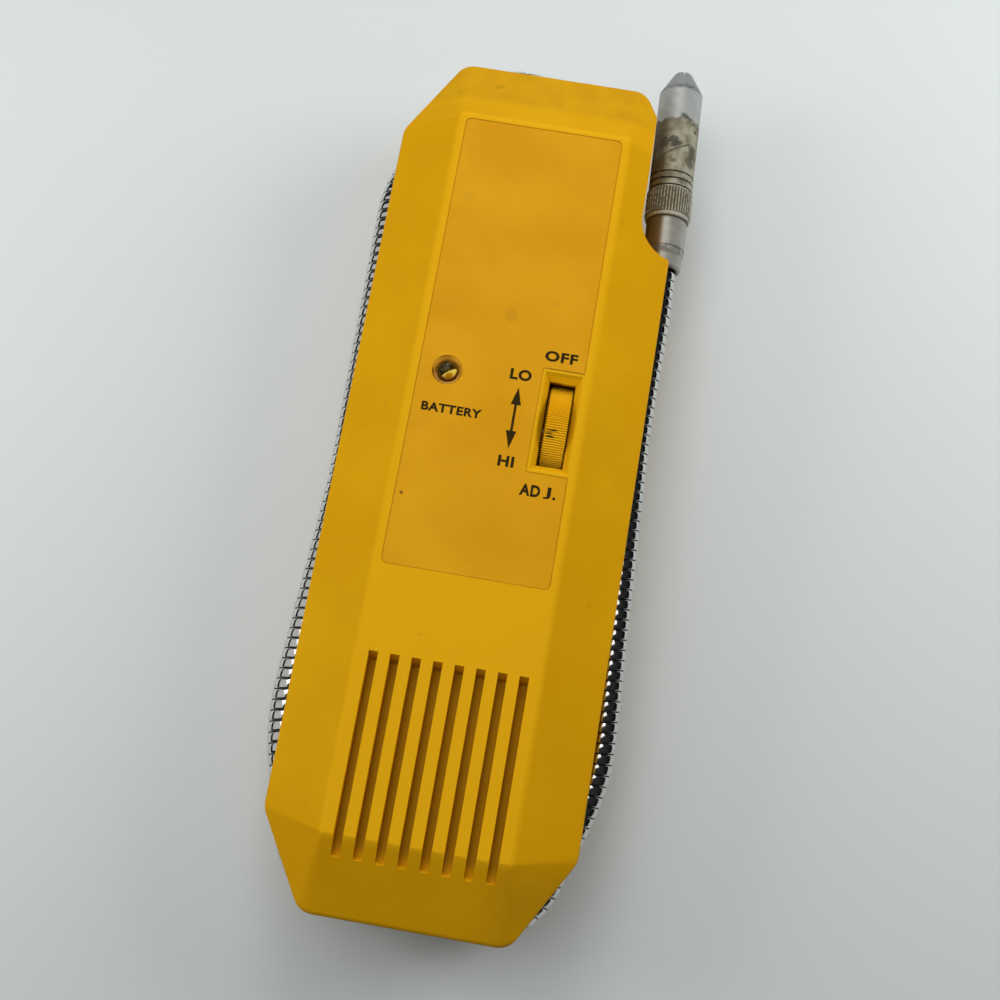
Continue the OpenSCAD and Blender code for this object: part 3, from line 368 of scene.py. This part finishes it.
# %% Orange film with stains
LABEL_MIDDLE, LABEL_HALF = (0, 31.8), (20.7, 60.1)
WINDOW_HALF = (5.55, 13.6)
STAINS = [
    ((-19.0, -10.5), 0.55, (0.16, 0.03, 0.008), 0.9),
    ((0.0, 39.5), 2.2, (0.45, 0.2, 0.012), 0.3),
    ((10.5, 44.0), 1.4, (0.5, 0.22, 0.012), 0.2),
    ((-16.5, 70.0), 1.8, (0.52, 0.24, 0.012), 0.2),
]
film = Finish("label_film", specular_ior_level=0.07)
cloudy = film.noise(22, 3).between(0.3, 0.75)
colour = film.mix(cloudy, (0.665, 0.30, 0.003), (0.735, 0.355, 0.007))
for at, radius, stain, strength in STAINS:
    soft = film.spot((*at, FACE), (radius,) * 3).between(0, 0.5)
    colour = film.mix(soft * strength, colour, stain)
x, y, _ = film.axes()
to_edge = outside(x, y, LABEL_MIDDLE, LABEL_HALF).absolute().between(0.3, 0.05)
to_window = outside(x, y, WHEEL, WINDOW_HALF).between(0.35, 0.1)
edge_shadow_noise = film.noise(2.5, 3, 0.6)
window_shadow = edge_shadow_noise.between(0.62 - y.between(26.0, 26.6) * 0.4, 0.7)
film.set("Base Color", film.painted(
    colour,
    # Painted shadow along the film's edges.
    (to_edge * edge_shadow_noise.between(0.35, 0.65) * 0.3, (0.30, 0.12, 0.008)),
    # Painted shadow round the wheel's window, strongest at its head.
    (to_window * window_shadow * 0.8, (0.12, 0.045, 0.006)),
))
film.set("Roughness", 0.4 + film.noise(5, 3) * 0.15)
film.bump(film.noise(0.5, 2), 0.012)
dress(film, "label_panel")

# %% [markdown]
# ## Metals
# The gland is bright plated steel, the contacts are a little duller, and the screws are plain
# zinc. They share one recipe: a metal whose roughness wavers, with faint scratches, and with a
# dark film where dirt gathers.

# %% Bright, plain and dull metals
def metal(name, colour, dirt_colour, rough=0.16, dirt=0.2):
    finish = Finish(name, metallic=1.0)
    smear = finish.noise(2.4, 4, 0.6).between(0.55, 0.8)
    finish.set("Base Color", finish.mix(smear * dirt, colour, dirt_colour))
    finish.set("Roughness", rough + finish.noise(0.9, 3) * 0.14)
    finish.bump(finish.noise(0.25, 2), 0.004)
    return finish


bright_steel = metal("bright_steel", (0.78, 0.78, 0.77), (0.3, 0.29, 0.26))
screw_steel = metal("screw_steel", (0.58, 0.58, 0.57), (0.2, 0.19, 0.17), rough=0.3, dirt=0.5)
contact_metal = metal("contact_metal", (0.72, 0.69, 0.6), (0.35, 0.3, 0.2), rough=0.25)
dress(bright_steel, "neck_gland", "gland_nut")
dress(screw_steel, "housing_screws", "board_screws", "wheel_spindle")
dress(contact_metal, "contact_spring", "lower_contact", "upper_contact")

# %% [markdown]
# ## Inner pieces
# Nothing inside shows while the housing is shut, but a piece may be looked at by itself, so each
# has the finish of the real one: mottled solder mask on the board, sleeves with a slight sheen,
# black moulded cases and soft dull rubber.

# %% Finishes of the inner pieces
BLACK_CASES = ["sensitivity_control", "logic_chips", "drive_transistor", "sounder", "lamp_spacer"]
INNER = {
    "black_case": ((0.02, 0.02, 0.021), (0.035, 0.034, 0.033), 0.4, BLACK_CASES),
    "board_mask": ((0.02, 0.13, 0.045), (0.03, 0.18, 0.06), 0.3, ["circuit_board"]),
    "coil_winding": ((0.05, 0.04, 0.035), (0.12, 0.06, 0.03), 0.5, ["voltage_coil"]),
    "capacitor_sleeve": ((0.015, 0.03, 0.12), (0.02, 0.045, 0.17), 0.25, ["capacitors"]),
    "cell_sleeve": ((0.33, 0.15, 0.045), (0.4, 0.2, 0.06), 0.25, ["lower_cell", "upper_cell"]),
    "dull_rubber": ((0.018, 0.018, 0.018), (0.03, 0.029, 0.028), 0.7, ["sounder_ring", "cap_seal"]),
    "pale_ceramic": ((0.72, 0.7, 0.62), (0.8, 0.78, 0.72), 0.35, ["sensing_element"]),
}
for name, (colour, shade, rough, names) in INNER.items():
    finish = Finish(name)
    blotch = finish.noise(3, 3, 0.55).between(0.35, 0.7)
    finish.set("Base Color", finish.mix(blotch, colour, shade))
    finish.set("Roughness", rough + finish.noise(1, 2) * 0.15)
    finish.bump(finish.noise(0.4, 2), 0.01)
    dress(finish, *names)
print("inner finishes:", ", ".join(INNER))

# %% [markdown]
# ## Tools for modelling
# The operators below act on whatever is selected, so each piece starts with nothing selected and
# one new primitive. These helpers are the few steps that come again and again.

# %% Small modelling helpers
def start_clean():
    if bpy.context.object and bpy.context.object.mode != "OBJECT":
        bpy.ops.object.mode_set(mode="OBJECT")
    bpy.ops.object.select_all(action="DESELECT")


def named(name):
    """The active object gets its name."""
    piece = bpy.context.object
    piece.name = piece.data.name = name
    return piece


def settle(piece, finish, body):
    """The place goes into the mesh, and the piece gets its finish and its body."""
    start_clean()
    piece.select_set(True)
    bpy.context.view_layer.objects.active = piece
    bpy.ops.object.transform_apply(location=True, rotation=True, scale=True)
    piece.data.materials.clear()
    piece.data.materials.append(finish.material)
    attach(piece, body)
    print(f"{piece.name}: {len(piece.data.polygons)} faces on {body}")


def use(piece, kind, **settings):
    """Adds a modifier and applies it."""
    modifier = piece.modifiers.new(kind.title(), kind)
    for setting, choice in settings.items():
        setattr(modifier, setting, choice)
    start_clean()
    bpy.context.view_layer.objects.active = piece
    piece.select_set(True)
    bpy.ops.object.modifier_apply(modifier=modifier.name)


def draw_profile(name, points):
    """A line through points, drawn from one corner of a plane by extruding it step by step."""
    start_clean()
    bpy.ops.mesh.primitive_plane_add(size=0.1 * MM)
    bpy.ops.object.mode_set(mode="EDIT")
    bpy.ops.mesh.select_all(action="SELECT")
    bpy.ops.mesh.merge(type="CENTER")
    bpy.ops.transform.translate(value=points[0])
    for before, after in zip(points, points[1:]):
        step = Vector(after) - Vector(before)
        bpy.ops.mesh.extrude_vertices_move(TRANSFORM_OT_translate={"value": step})
    bpy.ops.object.mode_set(mode="OBJECT")
    return named(name)


# %% [markdown]
# ## The wound steel neck
# The neck is a steel strip wound into a tight spiral, so that it bends anywhere and stays put. On
# a straight stretch it is one small profile, a rounded crest between two narrow furrows, screwed
# along a line. That straight hose is then bent along the groove by a Curve modifier, which keeps
# every turn the same. The line follows the same corners and radii as the CAD piece it replaces.

# %% The line of the neck: straight legs joined by round bends
NECK_CORNERS = [
    (5.5, 96.1), (5.5, 116.1), (-16.0, 116.1), (-39.0, 80.1184), (-37.2, -6.0), (-40.5, -70.1),
    (-28.0564, -109.4), (28.0564, -109.4), (40.5, -70.1), (37.0, 20.0), (37.65, 56.0),
    (37.135, 70.6),
]
BEND_RADII = [0, 14, 14, 30, 200, 60, 18, 18, 60, 200, 60, 0]
BEND_STEP = 3
NECK_RADIUS = 4.0
NECK_Z = 21.0
TURN_PITCH = 2.6


def neck_line():
    """Points along the rounded route, every few degrees of a bend."""
    corners = [Vector(c) for c in NECK_CORNERS]
    points = [corners[0]]
    for before, corner, after, radius in zip(corners, corners[1:], corners[2:], BEND_RADII[1:]):
        into, away = (corner - before).normalized(), (after - corner).normalized()
        turn = into.angle_signed(away)
        reach = radius * math.tan(abs(turn) / 2)
        start = corner - into * reach
        centre = start + radius * math.copysign(1, -turn) * Vector((-into.y, into.x))
        steps = max(2, round(math.degrees(abs(turn)) / BEND_STEP))
        for i in range(steps + 1):
            points.append(centre + Matrix.Rotation(-turn * i / steps, 2) @ (start - centre))
    return points + [corners[-1]]


line = neck_line()
neck_length = sum((b - a).length for a, b in zip(line, line[1:]))
route = bpy.data.curves.new("neck_route", "CURVE")
route.dimensions = "3D"
route.twist_mode = "Z_UP"
spline = route.splines.new("POLY")
spline.points.add(len(line) - 1)
for point, (x, y) in zip(spline.points, line):
    point.co = (x * MM, y * MM, NECK_Z * MM, 1)
route_object = bpy.data.objects.new("neck_route", route)
bpy.context.scene.collection.objects.link(route_object)
print(f"neck: {neck_length:.1f} mm long, {len(line)} points")

# %% One turn of the strip, screwed into a straight hose and bent along the line
TURN_PROFILE = [
    (0.0, 3.56), (0.09, 3.62), (0.17, 3.84), (0.36, 3.93), (0.8, 3.985), (1.3, 4.0), (1.8, 3.985),
    (2.24, 3.93), (2.43, 3.84), (2.51, 3.62), (2.6, 3.56),
]
FURROW_DEPTH = 0.5
turns = int(neck_length / TURN_PITCH) - 1
neck = draw_profile("wound_neck", [(x * MM, 0, r * MM) for x, r in TURN_PROFILE])
use(neck, "SCREW", axis="X", angle=math.tau, screw_offset=TURN_PITCH * MM, steps=24,
    render_steps=24, iterations=turns, use_smooth_shade=True)
use(neck, "WELD", merge_threshold=0.02 * MM)
furrow = neck.data.attributes.new("furrow", "FLOAT", "POINT")
for vertex, mark in zip(neck.data.vertices, furrow.data):
    mark.value = (NECK_RADIUS * MM - Vector(vertex.co.yz).length) / (FURROW_DEPTH * MM)
use(neck, "CURVE", object=route_object, deform_axis="POS_X")
bpy.data.objects.remove(route_object)
bpy.ops.object.mode_set(mode="EDIT")
bpy.ops.mesh.select_all(action="SELECT")
bpy.ops.mesh.normals_make_consistent(inside=False)
bpy.ops.object.mode_set(mode="OBJECT")
bpy.ops.object.shade_smooth_by_angle(angle=math.radians(50))

# %% Polished steel, with painted shade in its furrows
neck_steel = Finish("neck_steel", metallic=1.0)
furrow = neck_steel.add("Attribute", {"attribute_name": "furrow"}, {}, "Fac")
smear = neck_steel.noise(7, 3, 0.6).between(0.55, 0.8)
crest = neck_steel.mix(0.1 + smear * 0.4, (0.76, 0.755, 0.73), (0.36, 0.34, 0.29))
wavering = neck_steel.noise(1.2, 2) * 0.08
# Painted shade in the furrows between the turns.
neck_steel.set("Base Color", neck_steel.mix(furrow.between(0.15, 0.6), crest, (0.13, 0.12, 0.11)))
neck_steel.set("Roughness", 0.08 + furrow.between(0.2, 0.7) * 0.4 + wavering)
neck_steel.bump(neck_steel.noise(0.3, 2), 0.004)
settle(neck, neck_steel, "detector")
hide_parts("gooseneck")
dress(neck_steel, "gooseneck")

# %% [markdown]
# ## The sensor tip
# The cap is turned from nickel-plated brass. Its nose is clean and pale, the body under it is
# coated by a yellow-grey film with dark blotches, and the knurled band has dirt between its
# ridges. The holder below the cap is dull, handled steel. All of it depends on the place along the
# tip, so both finishes measure that length from the ferrule's mouth with one Mapping node.

# %% Places along the tip
TIP = Vector((37.269, 66.8024, 21))
TIP_HEADING = math.radians(92.0202 - 90)


def tip_axes(finish):
    """Across and along the tip, and the distance from its middle line."""
    across, length, height = finish.axes(finish.placed(TIP, TIP_HEADING))
    return across, length, distance(across, height)


def tip_spot(finish, across, length, radii, turn=0):
    """A soft blotch on the front of the tip, 1 in its middle."""
    at = TIP + Matrix.Rotation(TIP_HEADING, 3, "Z") @ Vector((across, length, 5))
    return finish.spot(at, (*radii, 5), TIP_HEADING + math.radians(turn))


# %% Dull steel of the ferrule and the holder
holder_steel = Finish("holder_steel", metallic=0.6)
across, length, _ = tip_axes(holder_steel)
haze = holder_steel.noise(2.6, 4, 0.6)
at_step = length.band(3.9, 4.5, 5.6, 6.6)
holder_steel.set("Base Color", holder_steel.painted(
    holder_steel.mix(haze.between(0.35, 0.7), (0.39, 0.385, 0.34), (0.46, 0.455, 0.41)),
    # Painted reflection of the shaded housing on the left side.
    (across.between(-0.9, -2.4) * 0.85, (0.11, 0.065, 0.02)),
    (at_step * haze.between(0.45, 0.6) * 0.8, (0.10, 0.095, 0.085)),
    # Painted shadow under the cap's lip.
    (length.between(13.4, 14.3) * 0.5, (0.10, 0.08, 0.05)),
))
holder_steel.set("Roughness", 0.4 + haze * 0.12)
holder_steel.bump(holder_steel.noise(0.3, 3), 0.004)
dress(holder_steel, "ferrule", "sensor_holder")

# %% The cap's clean nose, and the film on its body
cap_nickel = Finish("cap_nickel")
across, length, radius = tip_axes(cap_nickel)
blotches = cap_nickel.noise(3.6, 5, 0.62)
specks = cap_nickel.noise(1.1, 4, 0.7)
speckled = specks.between(0.4, 0.6)
edge_of_film = length + (blotches - 0.5) * 4 + (specks - 0.5) * 1.5
in_film = edge_of_film.between(44.1, 43.5)
paler = cap_nickel.noise(2, 3).between(0.3, 0.75)
clean = cap_nickel.painted(
    cap_nickel.mix(paler, (0.38, 0.395, 0.38), (0.45, 0.465, 0.445)),
    (length.between(53.4, 54.2), (0.27, 0.285, 0.27)),
)
film_and_painted_shade = cap_nickel.painted(
    cap_nickel.mix(blotches.between(0.42, 0.6), (0.24, 0.22, 0.145), (0.36, 0.35, 0.26)),
    # Painted shadow and reflection of the housing on the left side.
    (across.between(-0.5, -4.5) * 0.8, (0.085, 0.06, 0.02)),
)
grain = cap_nickel.noise(0.45, 2, 0.7).between(0.55, 0.72)
colour = cap_nickel.painted(
    cap_nickel.mix(in_film, clean, film_and_painted_shade),
    (edge_of_film.band(42.7, 43.4, 43.8, 44.2) * speckled * 0.7, (0.10, 0.092, 0.06)),
    (grain * in_film * 0.35, (0.12, 0.11, 0.075)),
)

# %% Dark blotches on the cap, by their place across and along it, radii, turn and strength
BLOTCHES = [
    (-1.2, 37.0, (2.2, 1.7), 0, 0.9), (-0.2, 35.7, (2.6, 1.5), 20, 0.95),
    (-3.6, 36.2, (2.0, 2.6), 0, 0.8), (1.2, 44.3, (2.1, 1.1), -15, 0.8),
    (4.5, 34.2, (1.8, 2.8), 0, 0.8), (4.0, 31.0, (2.0, 2.2), 0, 0.75),
    (-0.6, 30.6, (1.6, 1.0), 0, 0.6), (4.7, 40.7, (0.7, 0.7), 0, 0.9),
    (-4.2, 30.0, (2.4, 3.4), 0, 0.8), (0.4, 34.6, (6.0, 0.6), 28, 0.75),
    (-2.0, 26.0, (3.0, 2.4), 0, 0.55), (2.6, 25.0, (2.2, 1.6), 0, 0.5),
]
for *place, strength in BLOTCHES:
    shape = tip_spot(cap_nickel, *place)
    dark = (shape + (specks - 0.5) * 1.1).between(0.18, 0.5) * shape.between(0, 0.15)
    colour = cap_nickel.mix(dark * strength, colour, (0.055, 0.05, 0.028))

# %% The cap's cone, knurl, lip and rings
pitted = blotches.between(0.47, 0.38) * speckled * in_film
cone_foot = length.band(52.6, 53.4, 54.0, 55.2)
on_knurl = length.band(15.6, 15.8, 22.8, 23.0)
worn_ridge_and_glint = on_knurl * radius.between(6.22, 6.32) * cap_nickel.noise(0.8, 2).between(0.42, 0.56)
on_lip = length.band(14.3, 14.5, 15.4, 15.6)
by_rings = length.band(23.0, 23.1, 27.8, 28.0)
in_rings = by_rings * radius.between(5.98, 5.9)
ring_lips = by_rings * radius.between(6.06, 6.12)
in_nose = radius.between(2.4, 2.2) * length.between(58.0, 58.4)
cap_nickel.set("Base Color", cap_nickel.painted(
    colour,
    (pitted * 0.8, (0.08, 0.07, 0.042)),
    (cone_foot * (0.35 + speckled * 0.6), (0.13, 0.135, 0.125)),
    (on_knurl * radius.between(6.28, 6.1), (0.10, 0.09, 0.055)),
    # The ridges are partly worn bright and partly painted glints.
    (worn_ridge_and_glint * 0.9, (0.60, 0.58, 0.50)),
    # A painted highlight on the lip, and painted shadow under it.
    (on_lip * (0.4 + speckled * 0.5), (0.47, 0.46, 0.40)),
    (length.between(14.6, 14.45), (0.10, 0.095, 0.08)),
    # Dirt and painted shade in the ring grooves, and painted highlights on their lips.
    (in_rings * (0.35 + specks.between(0.42, 0.55) * 0.6), (0.05, 0.045, 0.03)),
    (ring_lips * specks.between(0.56, 0.62) * 0.7, (0.44, 0.43, 0.37)),
    (in_nose, (0.2, 0.2, 0.19)),
))
cap_nickel.set("Metallic", 0.3 - in_film * 0.2)
cap_nickel.set("Roughness", 0.42 + in_film * 0.12 + specks * 0.1)
cap_nickel.bump(blotches + specks * 0.4, 0.03)
dress(cap_nickel, "tip_cap")

# %% [markdown]
# ## The lamp
# The battery lamp is a clear amber 5 mm lens. Through it one sees a black case, a bright amber
# wedge of its reflector, which is a painted reflection, and an orange oval near the foot.

# %% Amber lens
amber = Finish(
    "amber_lens", specular_ior_level=0.25, coat_weight=0.08, coat_roughness=0.1, roughness=0.25
)
x, y, _ = amber.axes(amber.placed((*LAMP, FACE)))
lit = (y - x * 0.7).between(-1.16, -1.32) * (y + x * 0.366).between(-2.45, -2.3)
oval = amber.spot((-12.75, 20.8, FACE), (1.2, 0.7, 5), 0.5).between(0.05, 0.35)
smoky = amber.noise(0.9, 3).between(0.4, 0.65)
amber.set("Base Color", amber.painted(
    amber.mix(smoky, (0.018, 0.012, 0.002), (0.09, 0.055, 0.005)),
    # A painted reflection: the bright wedge of the reflector.
    (lit, (1.0, 0.76, 0.12)),
    (oval, (0.82, 0.36, 0.003)),
    (distance(x, y).between(2.36, 2.46), (0.16, 0.05, 0.002)),
))
dress(amber, "battery_lamp")

# %% [markdown]
# ## Lettering
# Only the plain words that say what the lamp and the wheel do are printed here. Each word is set
# in Blender's own font, made bolder with an offset, turned into a mesh, and stretched to the size
# of the printed word.

# %% Printed words
INK_Z = (FACE - 0.1) * MM
INK_THICKNESS = 0.03 * MM
ink = Finish("dark_ink", specular_ior_level=0.03)
worn = ink.noise(0.7, 4, 0.7)
faded = worn.between(0.55, 0.8) * 0.5
ink.set("Base Color", ink.mix(faded, (0.03, 0.021, 0.005), (0.12, 0.06, 0.006)))
ink.set("Roughness", 0.5 + worn * 0.15)


def printed(word, left, right, foot, head, bold=0.038):
    """A word that fills the rectangle it is given."""
    start_clean()
    bpy.ops.object.text_add()
    text = bpy.context.object.data
    text.body = word
    text.offset = bold
    text.space_character = 1.1
    text.extrude = 0.02
    text.resolution_u = 6
    bpy.ops.object.convert(target="MESH")
    piece = named("full_stop" if word == "." else "word_" + word.lower())
    corners = [Vector(c) for c in piece.bound_box]
    low = Vector([min(c[i] for c in corners) for i in range(3)])
    size = Vector([max(c[i] for c in corners) for i in range(3)]) - low
    wide, tall = (right - left) * MM, (head - foot) * MM
    piece.scale = (wide / size.x, tall / size.y, INK_THICKNESS / size.z)
    piece.location = Vector((left * MM, foot * MM, INK_Z)) - low * piece.scale
    settle(piece, ink, "detector")


WORDS = {
    "BATTERY": (-18.2, -3.0, 11.2, 13.5),
    "OFF": (10.2, 18.5, 29.0, 31.8),
    "LO": (2.3, 7.7, 22.8, 25.7),
    "HI": (3.0, 7.0, 0.2, 3.0),
    "AD": (9.5, 14.6, -6.2, -3.2),
    "J": (15.45, 17.25, -6.2, -3.2, 0.025),
    ".": (17.8, 18.55, -6.2, -5.45),
}
for word, place in WORDS.items():
    printed(word, *place)

# %% The arrow between LO and HI: a bar with a head stretched out of each end
ARROW_X, ARROW_FOOT, ARROW_HEAD = 5.0, 5.0, 20.8
BAR_WIDTH, HEAD_WIDTH, HEAD_LENGTH = 0.62, 2.6, 4.5
bar_length = ARROW_HEAD - ARROW_FOOT - 2 * HEAD_LENGTH
bar_middle = (ARROW_FOOT + ARROW_HEAD) / 2
start_clean()
bpy.ops.mesh.primitive_cube_add(
    size=1, location=(ARROW_X * MM, bar_middle * MM, INK_Z + INK_THICKNESS / 2),
    scale=(BAR_WIDTH * MM, bar_length * MM, INK_THICKNESS),
)
arrow = named("range_arrow")
bpy.ops.object.transform_apply(location=True, rotation=True, scale=True)
for direction in (-1, 1):
    bpy.ops.object.mode_set(mode="EDIT")
    bpy.ops.mesh.select_mode(type="FACE")
    bpy.ops.mesh.select_all(action="DESELECT")
    bpy.ops.object.mode_set(mode="OBJECT")
    tip = (ARROW_HEAD if direction > 0 else ARROW_FOOT) * MM
    pivot = Vector((ARROW_X * MM, tip - direction * HEAD_LENGTH * MM, INK_Z))
    out = (0, direction * HEAD_LENGTH * MM, 0)
    for face in arrow.data.polygons:
        at_end = abs(face.center.y - pivot.y) < 0.1 * MM
        face.select = at_end and face.normal.y * direction > 0.9
    bpy.ops.object.mode_set(mode="EDIT")
    bpy.ops.mesh.extrude_region_move()
    bpy.ops.transform.resize(value=(HEAD_WIDTH / BAR_WIDTH, 1, 1), center_override=pivot)
    bpy.ops.mesh.extrude_region_move(TRANSFORM_OT_translate={"value": out})
    bpy.ops.transform.resize(value=(0.02, 1, 1), center_override=pivot)
bpy.ops.object.mode_set(mode="OBJECT")
settle(arrow, ink, "detector")

# %% [markdown]
# ## Floor, sky and lamps
# A plain pale table with soft light. Broad panels stand to the left, to the right, beyond the head
# and overhead, and none at the foot, so the foot's slope falls away darker. They light only the
# table round the detector, so the camera alone sees the far table and the sky in one pale grey.
# Polished metal shows what is above it, and a real workshop is dark there, so the sky is dimmer
# to glossy rays, and they don't see the left and right panels.

# %% The table
PALE_GREY = (0.68, 0.72, 0.715)
METRE = 1
start_clean()
bpy.ops.mesh.primitive_plane_add(size=6, location=(0, 0, -0.05 * MM))
table = named("table")
paint = Finish("table_paint", roughness=0.6)
paint.set("Base Color", paint.mix(paint.noise(120, 2), (0.67, 0.715, 0.71), (0.70, 0.74, 0.735)))
x, y, _ = paint.axes(unit=METRE)
far_away = (x * x + y * y).between(0.06, 0.4)
seen = paint.add("LightPath", {}, {}, "Is Camera Ray")
glow = paint.add("Emission", {}, {"Color": PALE_GREY, "Strength": 1.0})
surface = paint.add("MixShader", {}, {0: far_away * seen, 1: paint.shader.outputs[0], 2: glow})
paint.feed(paint.nodes["Material Output"].inputs["Surface"], surface)
table.data.materials.append(paint.material)

# %% The sky, from a dark horizon to a paler top
world = bpy.data.worlds.new("studio")
bpy.context.scene.world = world
world.use_nodes = True
sky = NodeTree(world.node_tree)
background = sky.nodes["Background"].inputs
height = sky.add("SeparateXYZ", {}, {0: sky.add("TexCoord", {}, {}, "Generated")}, "Z")
shade = sky.add("ValToRGB", {}, {0: height}, "Color")
horizon, top = shade.socket.node.color_ramp.elements
horizon.position, horizon.color = 0.12, (0.02, 0.021, 0.022, 1)
top.position, top.color = 0.8, (0.13, 0.133, 0.135, 1)
seen = sky.add("LightPath", {}, {}, "Is Camera Ray")
sky.feed(background["Color"], sky.mix(seen, shade, PALE_GREY))
mirrored = sky.add("LightPath", {}, {}, "Is Glossy Ray")
sky.feed(background["Strength"], 1 - mirrored * 0.82)

# %% The lamps
LOOK_AT = Vector((0, 0, 0.02))


def panel(name, at, width, power):
    """A square soft light that faces the detector."""
    data = bpy.data.lights.new(name, "AREA")
    data.shape, data.size, data.energy = "SQUARE", width, power
    light = bpy.data.objects.new(name, data)
    bpy.context.scene.collection.objects.link(light)
    light.location = at
    light.rotation_euler = (LOOK_AT - Vector(at)).to_track_quat("-Z", "Y").to_euler()
    light.visible_camera = False
    return light


panel("left_panel", (-0.433, 0.0, 0.25), 0.22, 0.7).visible_glossy = False
panel("left_sky", (-0.35, 0.0, 0.40), 0.6, 0.6)
panel("right_panel", (0.375, 0.217, 0.25), 0.3, 1.25).visible_glossy = False
panel("head_panel", (-0.1, 0.75, 0.46), 0.3, 1.8)
panel("top_panel", (-0.08, 0.2, 0.6), 0.45, 1.0)
